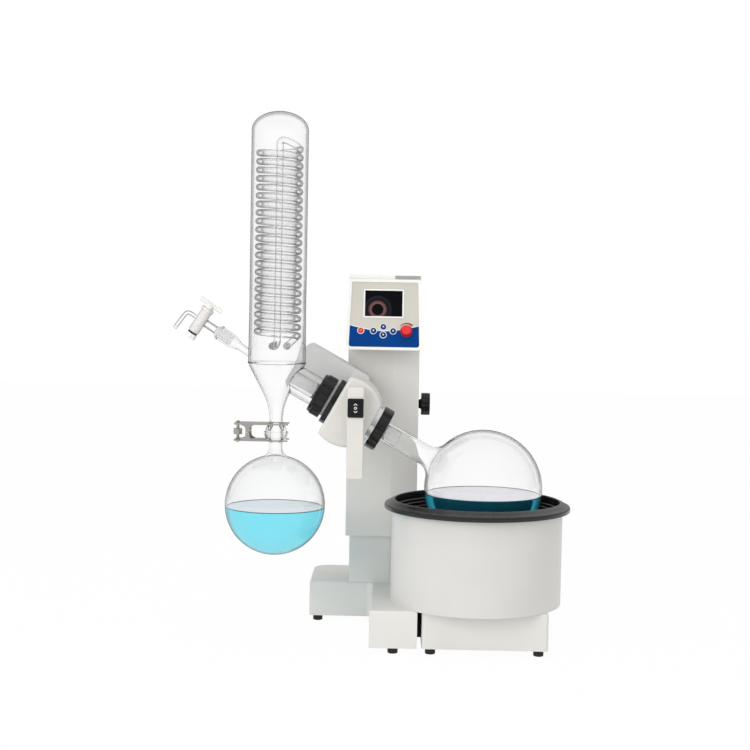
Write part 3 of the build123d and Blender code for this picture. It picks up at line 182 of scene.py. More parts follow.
# turned or drawn steel: streaks stretched along one direction
def drawnMetal(name, colour, stretch, dull=0.25):
    mat, tree, shader, place = startMaterial(name)
    fill(shader, "Metallic", 1.0)
    turn = tree.nodes.new("ShaderNodeMapping")
    fill(turn, "Scale", stretch)
    tree.links.new(place.outputs["Object"], turn.inputs["Vector"])
    streak = tree.nodes.new("ShaderNodeTexNoise")
    fill(streak, "Scale", 60.0)
    fill(streak, "Detail", 6.0)
    tree.links.new(turn.outputs["Vector"], streak.inputs["Vector"])
    low = tuple(c * 0.85 for c in colour[:3]) + (1,)
    ramp = rampOf(tree, streak.outputs["Fac"], [(0.3, low), (0.7, colour)])
    tree.links.new(ramp.outputs["Color"], shader.inputs["Base Color"])
    gloss = rampOf(tree, streak.outputs["Fac"], [(0.3, dull - 0.06), (0.7, dull + 0.12)])
    tree.links.new(gloss.outputs["Color"], shader.inputs["Roughness"])
    bumpOn(tree, shader, streak.outputs["Fac"], 0.12, 0.0001)
    return mat


# lets lamp and sky light through glass or liquid onto what stands behind
def passLight(tree, surface, tint):
    ray = tree.nodes.new("ShaderNodeLightPath").outputs
    lighting = mathOf(tree, "MAXIMUM", ray["Is Shadow Ray"], ray["Is Diffuse Ray"])
    through = tree.nodes.new("ShaderNodeBsdfTransparent")
    fill(through, "Color", tint)
    mix = blend(tree, lighting, surface, through.outputs["BSDF"])
    tree.links.new(mix, tree.nodes["Material Output"].inputs["Surface"])


# blown glass: clear face on, with painted shade: a dark line where the wall is seen edge on
def blownGlass(name, start, darkest):
    mat, tree, shader, place = startMaterial(name)
    facing = tree.nodes.new("ShaderNodeLayerWeight")
    fill(facing, "Blend", 0.5)
    fill(shader, "Base Color", (1, 1, 1, 1))
    fill(shader, "Transmission Weight", 1.0)
    fill(shader, "IOR", 1.45)
    fill(shader, "Roughness", 0.0)
    ripple = noiseOn(tree, place, 22.0, 1.0)
    bumpOn(tree, shader, ripple.outputs["Fac"], 0.04, 0.002)
    # painted shade: the glass gives way to a near black diffuse as the wall turns edge on
    stops = [(0.0, 0.0), (start, 0.03), (start + 0.18, 0.5 * darkest), (start + 0.3, darkest)]
    rim = rampOf(tree, facing.outputs["Facing"], stops)
    shade = tree.nodes.new("ShaderNodeBsdfDiffuse")
    fill(shade, "Color", (0.02, 0.02, 0.025, 1))
    mix = blend(tree, rim.outputs["Color"], shader.outputs["BSDF"], shade.outputs["BSDF"])
    passLight(tree, mix, (0.97, 0.97, 0.97, 1))
    return mat


# ground glass or clear plastic: milky, partly seen through, with painted shade darkening it at its edges
def frosted(name, milk, veil):
    mat, tree, shader, place = startMaterial(name)
    facing = tree.nodes.new("ShaderNodeLayerWeight")
    fill(facing, "Blend", 0.5)
    # painted shade: the milky colour falls to a third where the surface is seen edge on
    edge = tuple(c * 0.3 for c in milk[:3]) + (1,)
    ramp = rampOf(tree, facing.outputs["Facing"], [(0.0, milk), (0.5, milk), (0.85, edge)])
    tree.links.new(ramp.outputs["Color"], shader.inputs["Base Color"])
    fill(shader, "Roughness", 0.5)
    grain = noiseOn(tree, place, 900.0, 2.0)
    bumpOn(tree, shader, grain.outputs["Fac"], 0.05, 0.0001)
    clear = tree.nodes.new("ShaderNodeBsdfTransparent")
    mix = blend(tree, veil, clear.outputs["BSDF"], shader.outputs["BSDF"])
    passLight(tree, mix, (0.8, 0.8, 0.8, 1))
    return mat


# coloured liquid, slightly uneven
def liquidLook(name, colour, deep):
    mat, tree, shader, place = startMaterial(name)
    swirl = noiseOn(tree, place, 12.0, 2.0)
    ramp = rampOf(tree, swirl.outputs["Fac"], [(0.3, deep), (0.7, colour)])
    tree.links.new(ramp.outputs["Color"], shader.inputs["Base Color"])
    fill(shader, "Transmission Weight", 0.85)
    fill(shader, "IOR", 1.33)
    fill(shader, "Roughness", 0.02)
    passLight(tree, shader.outputs["BSDF"], colour)
    return mat


# a switched off screen with a painted reflection: a dim brown ring of the room painted into its colour
def darkScreen(name):
    mat, tree, shader, place = startMaterial(name)
    shift = tree.nodes.new("ShaderNodeMapping")
    fill(shift, "Location", (-0.0035, -0.027, -0.529))
    tree.links.new(place.outputs["Object"], shift.inputs["Vector"])
    far = tree.nodes.new("ShaderNodeVectorMath")
    far.operation = "LENGTH"
    tree.links.new(shift.outputs["Vector"], far.inputs[0])
    wide = mathOf(tree, "MULTIPLY", far.outputs["Value"], 40.0)
    # painted reflection: pink, brown and dusk rings on the black glass
    black, duskReflection, pinkReflection, brownReflection = rgb(10, 10, 13), rgb(36, 34, 46), rgb(120, 88, 86), rgb(70, 48, 50)
    stops = [(0.0, black), (0.4, black), (0.46, pinkReflection), (0.62, brownReflection), (0.68, black), (0.85, duskReflection),
             (1.0, black)]
    ramp = rampOf(tree, wide, stops)
    tree.links.new(ramp.outputs["Color"], shader.inputs["Base Color"])
    fill(shader, "Roughness", 0.15)
    fill(shader, "Specular IOR Level", 0.05)
    return mat


finishes = {
    "warmPaint": paint("warmPaint", rgb(223, 221, 216)),
    "headPaint": paint("headPaint", rgb(214, 212, 206)),
    "bathPaint": paint("bathPaint", rgb(212, 210, 206), 0.35),
    "greyCasing": paint("greyCasing", rgb(205, 205, 204), 0.45),
    "panelBeige": paint("panelBeige", rgb(201, 198, 188), 0.5, 1400.0),
    "housingWhite": moulded("housingWhite", rgb(238, 237, 233), 0.38),
    "handleWhite": moulded("handleWhite", rgb(217, 214, 208), 0.42),
    "blackNut": moulded("blackNut", rgb(16, 16, 17), 0.2, 1500.0, 0.35),
    "rimBlack": moulded("rimBlack", rgb(18, 18, 18), 0.24),
    "switchBlack": moulded("switchBlack", rgb(18, 18, 19), 0.3, 1500.0, 0.3),
    "rubber": moulded("rubber", rgb(26, 26, 26), 0.7, 700.0),
    "screenGlass": darkScreen("screenGlass"),
    "redCap": moulded("redCap", rgb(222, 40, 48), 0.3),
    "blueCap": moulded("blueCap", rgb(6, 56, 122), 0.3, 1500.0, 0.15),
    "boardGreen": moulded("boardGreen", rgb(40, 110, 60), 0.5),
    "fluoroWhite": moulded("fluoroWhite", rgb(232, 231, 226), 0.45),
    "motorBlack": paint("motorBlack", rgb(60, 60, 63), 0.4),
    "potSteel": drawnMetal("potSteel", rgb(205, 205, 206), (1, 1, 14)),
    "turnedSteel": drawnMetal("turnedSteel", rgb(214, 214, 215), (9, 9, 9), 0.22),
    "stampedSteel": drawnMetal("stampedSteel", rgb(196, 193, 186), (2, 12, 12), 0.3),
    "screwBrass": drawnMetal("screwBrass", rgb(190, 150, 80), (6, 6, 6), 0.3),
    # glass finishes: where the painted edge shade starts, and how dark it gets
    "clearGlass": blownGlass("clearGlass", 0.68, 0.95),
    "jacketGlass": blownGlass("jacketGlass", 0.6, 0.9),
    "tubeGlass": blownGlass("tubeGlass", 0.3, 0.9),
    "coilGlass": blownGlass("coilGlass", 0.46, 0.6),
    "thinGlass": blownGlass("thinGlass", 0.6, 0.4),
    "groundGlass": frosted("groundGlass", rgb(226, 225, 228), 0.4),
    "milkyPlastic": frosted("milkyPlastic", rgb(226, 223, 220), 0.85),
    "tealLiquid": liquidLook("tealLiquid", rgb(60, 178, 205), rgb(46, 165, 195)),
    "cyanLiquid": liquidLook("cyanLiquid", rgb(140, 238, 252), rgb(124, 234, 250)),
    # painted reflection on the liquid skins, and the painted shade of the line round them
    "skinReflectionPale": moulded("skinReflectionPale", rgb(212, 211, 221), 0.15, 30.0),
    "skinReflectionCyan": moulded("skinReflectionCyan", rgb(206, 226, 236), 0.15, 30.0),
    "skinEdgeShade": moulded("skinEdgeShade", rgb(30, 90, 104), 0.3),
    "stripGrey": moulded("stripGrey", rgb(168, 167, 165), 0.5),
    "printBlue": moulded("printBlue", rgb(0, 62, 132), 0.45, 1500.0, 0.08),
    "printWhite": moulded("printWhite", rgb(240, 240, 238), 0.45),
    "printRed": moulded("printRed", rgb(160, 26, 38), 0.4),
    "printRose": moulded("printRose", rgb(240, 130, 135), 0.4),
    "potDark": paint("potDark", rgb(44, 43, 42), 0.38),
}
nodeFinish = {
    "warmPaint": ["base_frame", "lower_column", "column_sleeve", "bath_pedestal"],
    "headPaint": ["head_drum", "head_back_plate", "head_bracket"],
    "bathPaint": ["bath_shell"],
    "greyCasing": ["motor_casing", "base_bottom"],
    "panelBeige": ["console_panel"],
    "housingWhite": ["console_housing"],
    "handleWhite": ["handle_grip"],
    "blackNut": ["condenser_nut", "flask_nut", "flange_ring", "lock_knob", "mains_inlet"],
    "rimBlack": ["bath_rim"],
    "switchBlack": ["switch_frame", "lift_rocker"],
    "rubber": ["base_feet", "bath_feet", "docking_pad", "drive_belt"],
    "screenGlass": ["display_screen"],
    "redCap": ["red_button", "speed_knob"],
    "blueCap": ["key_left", "key_right", "key_up", "key_down"],
    "boardGreen": ["control_board"],
    "fluoroWhite": ["upper_guide", "lower_guide", "vacuum_seal", "stopcock_plug", "stopcock_nut"],
    "motorBlack": ["lift_motor", "drive_motor"],
    "potSteel": ["bath_heater", "bath_sensor"],
    "potDark": ["bath_pot"],
    "turnedSteel": ["rotor_sleeve", "rotor_bearings", "lead_screw", "push_tube", "motor_pulley"],
    "stampedSteel": ["clamp_upper_jaw", "clamp_lower_jaw", "clamp_screw"],
    "screwBrass": ["lift_nut"],
    "clearGlass": ["evaporating_flask", "condenser_jacket", "receiving_flask", "inlet_valve"],
    "thinGlass": ["vapour_tube"],
    "coilGlass": ["cooling_coil"],
    "tealLiquid": ["evaporating_liquid"],
    "cyanLiquid": ["collected_liquid"],
}
for finish, names in nodeFinish.items():
    for name in names:
        nodes[name].data.materials.clear()
        nodes[name].data.materials.append(finishes[finish])
bare = [n for n in nodes if n not in sum(nodeFinish.values(), [])]
print("finishes made:", len(finishes), "nodes without one:", bare)


def arc(cx, cy, radius, start, stop, count):
    steps = [radians(start + (stop - start) * i / count) for i in range(count + 1)]
    return [(cx + radius * cos(a), cy + radius * sin(a)) for a in steps]


def newMesh(name, verts, edges, faces):
    bpy.ops.object.select_all(action="DESELECT")
    mesh = bpy.data.meshes.new(name)
    mesh.from_pydata(verts, edges, faces)
    piece = bpy.data.objects.new(name, mesh)
    bpy.context.scene.collection.objects.link(piece)
    bpy.context.view_layer.objects.active = piece
    piece.select_set(True)
    return piece


# turns the skin outward, and merges what lies on the same spot
def closeSkin(merging=True):
    bpy.ops.object.mode_set(mode="EDIT")
    bpy.ops.mesh.select_all(action="SELECT")
    if merging:
        bpy.ops.mesh.remove_doubles(threshold=merge)
    bpy.ops.mesh.normals_make_consistent(inside=False)
    bpy.ops.object.mode_set(mode="OBJECT")


# faces between closed rings of points, the last ring joined to the first
def ringFaces(rows, steps):
    faces = []
    for row in range(rows):
        up = (row + 1) % rows * steps
        for i in range(steps):
            j = (i + 1) % steps
            faces.append((row * steps + i, row * steps + j, up + j, up + i))
    return faces


# a closed profile of (radius, height) pairs in mm, spun round a line
def spinProfile(name, profile, foot, direction, steps=96):
    direction = Vector(direction).normalized()
    side = direction.orthogonal().normalized()
    if abs(direction.y) < 0.9:
        side = Vector((0, -1, 0))
    verts = [foot + side * (r * mm) + direction * (h * mm) for r, h in profile]
    edges = [(i, (i + 1) % len(verts)) for i in range(len(verts))]
    piece = newMesh(name, verts, edges, [])
    bpy.ops.object.mode_set(mode="EDIT")
    bpy.ops.mesh.select_all(action="SELECT")
    bpy.ops.mesh.spin(steps=steps, angle=2 * pi, center=foot, axis=direction)
    bpy.ops.mesh.select_all(action="SELECT")
    bpy.ops.mesh.remove_doubles(threshold=merge)
    bpy.ops.mesh.delete_loose()
    bpy.ops.mesh.select_all(action="SELECT")
    bpy.ops.mesh.normals_make_consistent(inside=False)
    bpy.ops.object.mode_set(mode="OBJECT")
    return piece


def applyAll(piece):
    bpy.ops.object.select_all(action="DESELECT")
    bpy.context.view_layer.objects.active = piece
    piece.select_set(True)
    for step in list(piece.modifiers):
        bpy.ops.object.modifier_apply(modifier=step.name)


def smooth(piece, angle=35):
    bpy.ops.object.select_all(action="DESELECT")
    bpy.context.view_layer.objects.active = piece
    piece.select_set(True)
    bpy.ops.object.shade_smooth_by_angle(angle=radians(angle))


def mount(piece, finish, body, slot, *stoodFor):
    piece.data.materials.clear()
    piece.data.materials.append(finishes[finish])
    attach(piece, body)
    if stoodFor:
        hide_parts(*stoodFor)
    return piece


# a plate between two outlines with as many points
def slab(name, lower, upper):
    count = len(lower)
    faces = [tuple(range(count)), tuple(range(count, 2 * count))]
    faces += [(i, (i + 1) % count, count + (i + 1) % count, count + i) for i in range(count)]
    piece = newMesh(name, lower + upper, [], faces)
    bpy.ops.object.mode_set(mode="EDIT")
    bpy.ops.mesh.select_all(action="SELECT")
    bpy.ops.mesh.normals_make_consistent(inside=False)
    bpy.ops.mesh.quads_convert_to_tris(quad_method="BEAUTY", ngon_method="BEAUTY")
    bpy.ops.object.mode_set(mode="OBJECT")
    return piece


def joinWith(base, other, kind):
    step = base.modifiers.new("join", "BOOLEAN")
    step.operation = kind
    step.solver = "EXACT"
    step.object = other
    applyAll(base)
    bpy.data.objects.remove(other)
    return base


# round flask for evaporating: globe, drawn neck and bead
flask = {"globe": 94.0, "wall": 2.0, "at": 250.0, "neck": 16.5, "mouth": 36.0, "neckEnd": 100.0,
         "shoulder": 22.0, "beadFrom": 54.1, "beadTo": 62.0}
swell = flask["neck"] + flask["shoulder"]
back = sqrt((flask["globe"] + flask["shoulder"]) ** 2 - swell ** 2)
lean = degrees(atan2(swell, back))
outside = [(flask["neck"], flask["mouth"]), (flask["neck"], flask["beadFrom"])]
beadMid = (flask["beadFrom"] + flask["beadTo"]) / 2
outside += arc(flask["neck"], beadMid, flask["beadTo"] - beadMid, -85, 85, 10)
outside += [(flask["neck"], flask["beadTo"] + 0.2), (flask["neck"], flask["neckEnd"])]
outside += arc(swell, flask["at"] - back, flask["shoulder"], 180, 90 + lean, 12)
outside += arc(0, flask["at"], flask["globe"], -90 + lean, 90, 64)[1:]
inside = arc(0, flask["at"], flask["globe"] - flask["wall"], 90, -90 + lean, 64)
inside += arc(swell, flask["at"] - back, flask["shoulder"] + flask["wall"], 90 + lean, 180, 12)[1:]
inside += [(flask["neck"] - flask["wall"], at) for at in (flask["neckEnd"], flask["mouth"])]
roundFlask = spinProfile("roundFlask", outside + inside, rotor["head"], rotor["along"], 128)
smooth(roundFlask, 40)
mount(roundFlask, "clearGlass", "rotor", "clear_glass", "evaporating_flask")
print("round flask:", len(roundFlask.data.polygons), "faces")

# liquid in that flask, level with the bench
flaskCentre = rotor["head"] + rotor["along"] * (flask["at"] * mm)
bathLiquid = {"radius": 92.05, "level": 240.0}
dip = (bathLiquid["level"] * mm - flaskCentre.z) / mm
turn = degrees(asin(dip / bathLiquid["radius"]))
pool = arc(0, 0, bathLiquid["radius"], -90, turn, 48) + [(0, dip)]
flaskLiquid = spinProfile("flaskLiquid", pool, flaskCentre, upright, 128)
smooth(flaskLiquid, 40)
mount(flaskLiquid, "tealLiquid", "head", "teal_liquid", "evaporating_liquid")


# the skin of a liquid seen flat, painted pale as a painted reflection of the bright room, with a dark line of
# painted shade where it meets the glass
def liquidSkin(name, middle, level, radius, finish, line, slot):
    inner = radius - 0.8
    top = [(0, level - 0.05), (inner, level - 0.05), (inner, level + 0.15), (0, level + 0.15)]
    skin = spinProfile(name, top, middle, upright, 96)
    mount(skin, finish, "head", slot)
    bead = [(r, h + level) for r, h in arc(inner, 0.1, 0.75, 0, 330, 11)]
    ring = spinProfile(name + "Edge", bead, middle, upright, 96)
    smooth(ring, 60)
    mount(ring, line, "head", slot)


skinFoot = Vector((flaskCentre.x, flaskCentre.y, 0))
skinReach = sqrt((flask["globe"] - flask["wall"]) ** 2 - dip ** 2)
liquidSkin("flaskSkin", skinFoot, bathLiquid["level"], skinReach, "skinReflectionPale", "skinEdgeShade", "teal_liquid")

# vapour tube inside the neck
tube = {"radius": 13.0, "wall": 1.8, "left": -100.0, "right": 92.0}
lip = arc(tube["radius"] - tube["wall"] / 2, tube["right"], tube["wall"] / 2, 0, 180, 8)
heel = arc(tube["radius"] - tube["wall"] / 2, tube["left"], tube["wall"] / 2, 180, 360, 8)
vapourTube = spinProfile("vapourTube", lip + heel, rotor["head"], rotor["along"], 64)
smooth(vapourTube, 50)
mount(vapourTube, "thinGlass", "rotor", "clear_glass", "vapour_tube")

# receiving flask with the cup of the ball joint
receiver = {"globe": 80.0, "wall": 2.2, "z": 216.0, "neck": 10.75, "shoulder": 14.0, "ball": 333.0,
            "cup": 19.5, "level": 213.0}
swell = receiver["neck"] + receiver["shoulder"]
rise = sqrt((receiver["globe"] + receiver["shoulder"]) ** 2 - swell ** 2)
lean = degrees(atan2(swell, rise))
cupWall = receiver["cup"] - receiver["wall"]
drop = sqrt(receiver["cup"] ** 2 - receiver["neck"] ** 2)
dropIn = sqrt(cupWall ** 2 - (receiver["neck"] - receiver["wall"]) ** 2)
outside = arc(0, receiver["z"], receiver["globe"], -90, 90 - lean, 64)
outside += arc(swell, receiver["z"] + rise, receiver["shoulder"], 270 - lean, 180, 12)[1:]
cupTurn = degrees(asin(drop / receiver["cup"]))
outside += arc(0, receiver["ball"], receiver["cup"], -cupTurn, 0, 14)
inTurn = degrees(asin(dropIn / cupWall))
inside = arc(0, receiver["ball"], cupWall, 0, -inTurn, 14)
inside += arc(swell, receiver["z"] + rise, receiver["shoulder"] + receiver["wall"], 180, 270 - lean, 12)
inside += arc(0, receiver["z"], receiver["globe"] - receiver["wall"], 90 - lean, -90, 64)[1:]
receivingGlobe = spinProfile("receivingGlobe", outside + inside, condenserLine, upright, 128)
smooth(receivingGlobe, 40)
mount(receivingGlobe, "clearGlass", "head", "clear_glass", "receiving_flask")
sink = receiver["level"] - receiver["z"]
dry = receiver["globe"] - receiver["wall"]
wet = dry + 0.05
turn = degrees(asin(sink / wet))
pool = [(r, h + receiver["z"]) for r, h in arc(0, 0, wet, -90, turn, 48)] + [(0, receiver["level"])]
receiverLiquid = spinProfile("receiverLiquid", pool, condenserLine, upright, 128)
smooth(receiverLiquid, 40)
mount(receiverLiquid, "cyanLiquid", "head", "cyan_liquid", "collected_liquid")
skinReach = sqrt(dry ** 2 - sink ** 2)
liquidSkin("receiverSkin", condenserLine, receiver["level"], skinReach, "skinReflectionCyan", "skinEdgeShade", "cyan_liquid")
print("receiving flask and liquids done")


# a bend between two straight stretches of a profile
def roundCorner(before, corner, after, reach, count=10):
    a = Vector(before) - Vector(corner)
    b = Vector(after) - Vector(corner)
    start = Vector(corner) + a.normalized() * reach
    stop = Vector(corner) + b.normalized() * reach
    out = []
    for i in range(count + 1):
        f = i / count
        q = start * (1 - f) ** 2 + Vector(corner) * (2 * f * (1 - f)) + stop * f ** 2
        out.append((q.x, q.y))
    return out


# upright condenser: jacket, side arm, feed socket and hose ends blown as one glass
jacket = {"radius": 45.0, "wall": 2.2, "top": 841.0, "dome": 30.0, "seamTop": 447.0, "seamLow": 440.0,
          "bulge": 1.5, "coneFoot": 375.0, "neck": 10.75, "ball": 17.0, "ballZ": 333.0, "ballCut": 0.7,
          "arm": 23.5, "armEnd": -44.1, "flange": 28.7, "flangeThick": 4.0}
feed = {"angle": radians(33), "wallZ": 459.0, "tube": 6.0, "socket": 11.0, "mouth": 58.0}
feedRoot = Vector((condenserX - jacket["radius"] * mm, axisY, feed["wallZ"] * mm))
feedLine = Vector((-cos(feed["angle"]), 0, sin(feed["angle"])))
hose = {"spread": 12.0, "z": 468.0, "radius": 5.0, "bore": 2.8, "plain": 14.0, "step": 5.0,
        "end": 29.6, "barb": 1.2}


def jacketProfile(thin):
    wide = jacket["radius"] - thin
    slim = jacket["neck"] - thin
    domeFoot = jacket["top"] - jacket["dome"]
    seamMid = (jacket["seamTop"] + jacket["seamLow"]) / 2
    cone = roundCorner((slim, 350), (slim, jacket["coneFoot"]), (wide, jacket["seamLow"]), 22)
    cone += roundCorner((slim, jacket["coneFoot"]), (wide, jacket["seamLow"]), (wide, 500), 3, 4)
    cone += arc(wide, seamMid, jacket["bulge"] if thin == 0 else 0.4, -60, 60, 8)
    tall = jacket["dome"] - thin
    dome = [(wide * cos(radians(a)), domeFoot + tall * sin(radians(a))) for a in range(0, 91, 5)]
    return cone + [(wide, 520), (wide, 620), (wide, 720)] + dome


ballFoot = jacket["ballZ"] - jacket["ball"] * jacket["ballCut"]
ballTurn = degrees(asin(jacket["ballCut"]))
ballTop = degrees(acos(jacket["neck"] / jacket["ball"]))
thin = jacket["wall"]
outside = [(0, ballFoot)] + arc(0, jacket["ballZ"], jacket["ball"], -ballTurn, ballTop, 20) + jacketProfile(0)
condenserGlass = spinProfile("condenserGlass", outside, condenserLine, upright, 96)
underBall = ballFoot - 6.1
inside = [(0, underBall), (jacket["neck"] - thin, underBall)] + jacketProfile(thin)
hollow = spinProfile("hollow", inside, condenserLine, upright, 96)
armStart, armEnd = rotor["condenserAt"], jacket["armEnd"]
flangeFoot = armEnd - jacket["flangeThick"]
armProfile = [(0, armStart), (jacket["arm"], armStart), (jacket["arm"], flangeFoot - 2)]
armProfile += [(jacket["flange"], flangeFoot), (jacket["flange"], armEnd), (0, armEnd)]
joinWith(condenserGlass, spinProfile("arm", armProfile, rotor["head"], rotor["along"], 72), "UNION")
armBore = jacket["arm"] - thin
armHollow = [(0, armStart), (armBore, armStart), (armBore, armEnd + 2), (0, armEnd + 2)]
joinWith(hollow, spinProfile("armHollow", armHollow, rotor["head"], rotor["along"], 72), "UNION")
slim, wide, mouth = feed["tube"], feed["socket"], feed["mouth"]
socketProfile = [(0, -16), (slim, -16), (slim, 16), (slim + 1.5, 22), (wide - 1, 30), (wide, 34),
                 (wide, mouth - 4), (wide + 1.2, mouth - 2.5), (wide + 1.2, mouth - 0.5), (wide, mouth),
                 (0, mouth)]
joinWith(condenserGlass, spinProfile("socket", socketProfile, feedRoot, feedLine, 48), "UNION")
slim, wide = slim - thin, wide - thin
socketHollow = [(0, -18), (slim, -18), (slim, 20), (wide - 0.6, 31), (wide, 36),
                (wide, mouth + 2), (0, mouth + 2)]
joinWith(hollow, spinProfile("socketHollow", socketHollow, feedRoot, feedLine, 48), "UNION")
hoseFoot = sqrt(jacket["radius"] ** 2 - hose["spread"] ** 2)
for side in (-1, 1):
    foot = Vector((condenserX + side * hose["spread"] * mm, axisY, hose["z"] * mm))
    start, plain = hoseFoot - 1.5, hoseFoot + hose["plain"]
    barbs = [(0, start), (hose["radius"], start), (hose["radius"], plain)]
    for k in range(3):
        at = plain + k * hose["step"]
        barbs += [(hose["radius"] + hose["barb"], at + 0.6), (hose["radius"], at + hose["step"])]
    barbs += [(hose["radius"] - 0.8, hoseFoot + hose["end"]), (0, hoseFoot + hose["end"])]
    joinWith(condenserGlass, spinProfile("hoseEnd", barbs, foot, (0, 1, 0), 32), "UNION")
    start, stop = hoseFoot - 12, hoseFoot + 40
    through = [(0, start), (hose["bore"], start), (hose["bore"], stop), (0, stop)]
    joinWith(hollow, spinProfile("hoseBore", through, foot, (0, 1, 0), 32), "UNION")
joinWith(condenserGlass, hollow, "DIFFERENCE")
smooth(condenserGlass, 32)
mount(condenserGlass, "jacketGlass", "head", "clear_glass", "condenser_jacket")
print("condenser glass:", len(condenserGlass.data.polygons), "faces")


# a round bar along points, its ends closed
def curveTube(name, points, radius, sides):
    bpy.ops.object.select_all(action="DESELECT")
    data = bpy.data.curves.new(name, "CURVE")
    data.dimensions = "3D"
    spline = data.splines.new("POLY")
    spline.points.add(len(points) - 1)
    for spot, place in zip(spline.points, points):
        spot.co = (*place, 1)
    data.bevel_depth = radius * mm
    data.bevel_resolution = sides
    data.use_fill_caps = True
    piece = bpy.data.objects.new(name, data)
    bpy.context.scene.collection.objects.link(piece)
    bpy.context.view_layer.objects.active = piece
    piece.select_set(True)
    bpy.ops.object.convert(target="MESH")
    piece = bpy.context.object
    closeSkin()
    return piece


# the same with a bore that stops short of both ends
def hollowTube(name, points, radius, wall, sides):
    piece = curveTube(name, points, radius, sides)
    core = curveTube(name + "Core", points[1:-1], radius - wall, sides)
    bpy.ops.object.mode_set(mode="EDIT")
    bpy.ops.mesh.select_all(action="SELECT")
    bpy.ops.mesh.flip_normals()
    bpy.ops.object.mode_set(mode="OBJECT")
    bpy.ops.object.select_all(action="DESELECT")
    core.select_set(True)
    piece.select_set(True)
    bpy.context.view_layer.objects.active = piece
    bpy.ops.object.join()
    return piece


# a smooth bow from one point and direction to another
def easeBetween(a, goingA, b, goingB, count):
    out = []
    for i in range(1, count + 1):
        f = i / count
        h = (2 * f ** 3 - 3 * f ** 2 + 1, f ** 3 - 2 * f ** 2 + f, -2 * f ** 3 + 3 * f ** 2, f ** 3 - f ** 2)
        out.append(Vector(a) * h[0] + Vector(goingA) * h[1] + Vector(b) * h[2] + Vector(goingB) * h[3])
    return out


# glass coil: up from one hose end in a spiral, back down the middle to the other
coil = {"radius": 32.25, "tube": 5.5, "wall": 1.15, "pitch": 13.4, "turns": 22, "foot": 487.0, "crest": 8.0,
        "perTurn": 36, "endsAt": 38.7}
spiral = []
for i in range(coil["turns"] * coil["perTurn"] + 1):
    turn = -2 * pi * i / coil["perTurn"]
    height = coil["foot"] + coil["pitch"] * i / coil["perTurn"]
    spot = Vector((coil["radius"] * cos(turn), coil["radius"] * sin(turn), height))
    spiral.append(condenserLine + spot * mm)
inlet = condenserLine + Vector((hose["spread"], coil["endsAt"], hose["z"])) * mm
outlet = condenserLine + Vector((-hose["spread"], coil["endsAt"], hose["z"])) * mm
lead = easeBetween(inlet, Vector((0, -55, 0)) * mm, spiral[0], Vector((0, -55, 4)) * mm, 14)[:-1]
crest = condenserLine + Vector((0, 0, coil["foot"] + coil["pitch"] * coil["turns"] + coil["crest"])) * mm
over = easeBetween(spiral[-1], Vector((0, -60, 4)) * mm, crest, Vector((0, 26, -46)) * mm, 16)
heel = condenserLine + Vector((0, 0, hose["z"] + 12)) * mm
fall = [crest + (heel - crest) * (i / 12) for i in range(1, 13)]
tail = easeBetween(heel, Vector((0, 0, -45)) * mm, outlet, Vector((0, 45, 0)) * mm, 12)
route = [inlet] + lead + spiral + over + fall + tail
glassCoil = hollowTube("glassCoil", route, coil["tube"], coil["wall"], 3)
smooth(glassCoil, 60)
mount(glassCoil, "coilGlass", "head", "clear_glass", "cooling_coil")
print("glass coil:", len(glassCoil.data.polygons), "faces")

# feed valve: ground cone, neck, frosted barrel and a bent tube
valve = {"barrel": 9.0, "at": 92.0, "length": 44.0, "bore": 5.6, "bent": 3.25, "bentWall": 1.2, "run": 26.0,
         "drop": 20.0, "fall": 27.0, "leave": 8.5, "bow": 26.0, "bowEnd": 12.0,
         "cone": [(5.0, 33), (8.4, 33), (8.7, 57.5), (9.4, 59), (9.4, 60.5), (6.2, 64), (5.0, 64)],
         "neck": [(4.0, 63), (6.0, 63.5), (6.0, 80), (6.8, 84), (4.0, 84)]}
barrelLine = Vector((sin(feed["angle"]), 0, cos(feed["angle"])))
barrelMid = feedRoot + feedLine * (valve["at"] * mm)
groundCone = spinProfile("groundCone", valve["cone"], feedRoot, feedLine, 40)
smooth(groundCone, 40)
mount(groundCone, "groundGlass", "head", "clear_glass")
valveNeck = spinProfile("valveNeck", valve["neck"], feedRoot, feedLine, 40)
smooth(valveNeck, 40)
mount(valveNeck, "tubeGlass", "head", "clear_glass")
half = valve["length"] / 2
wide = valve["barrel"]
body = [(valve["bore"], -half), (wide - 0.8, -half), (wide, -half + 1), (wide, half - 6),
        (wide + 1.3, half - 5), (wide + 1.3, half - 1), (wide + 0.4, half), (valve["bore"], half)]
valveBarrel = spinProfile("valveBarrel", body, barrelMid, barrelLine, 48)
smooth(valveBarrel, 40)
mount(valveBarrel, "milkyPlastic", "head", "clear_glass", "inlet_valve")
bendAt = barrelMid + feedLine * (valve["run"] * mm)
tipAt = bendAt + Vector((-valve["drop"], 0, -valve["fall"])) * mm
leave = barrelMid + feedLine * (valve["leave"] * mm)
down = (tipAt - bendAt).normalized()
bow = [leave + (bendAt - leave) * (i / 6) for i in range(4)]
bend = valve["bow"] * mm
bow += easeBetween(bow[-1], feedLine * bend, bendAt + down * (valve["bowEnd"] * mm), down * bend, 12)
bow += [bow[-1] + (tipAt - bow[-1]) * (i / 6) for i in range(1, 7)]
bentTube = hollowTube("bentTube", bow, valve["bent"], valve["bentWall"], 4)
smooth(bentTube, 60)
mount(bentTube, "tubeGlass", "head", "clear_glass")
plugSeal = {"core": 6.6, "thick": 1.5, "at": -23.9}
ring = [(r, h + plugSeal["at"]) for r, h in arc(plugSeal["core"], 0, plugSeal["thick"], 0, 345, 15)]
sealRing = spinProfile("sealRing", ring, barrelMid, barrelLine, 40)
smooth(sealRing, 60)
mount(sealRing, "rubber", "stopcock", "foot_rubber")
print("feed valve done")

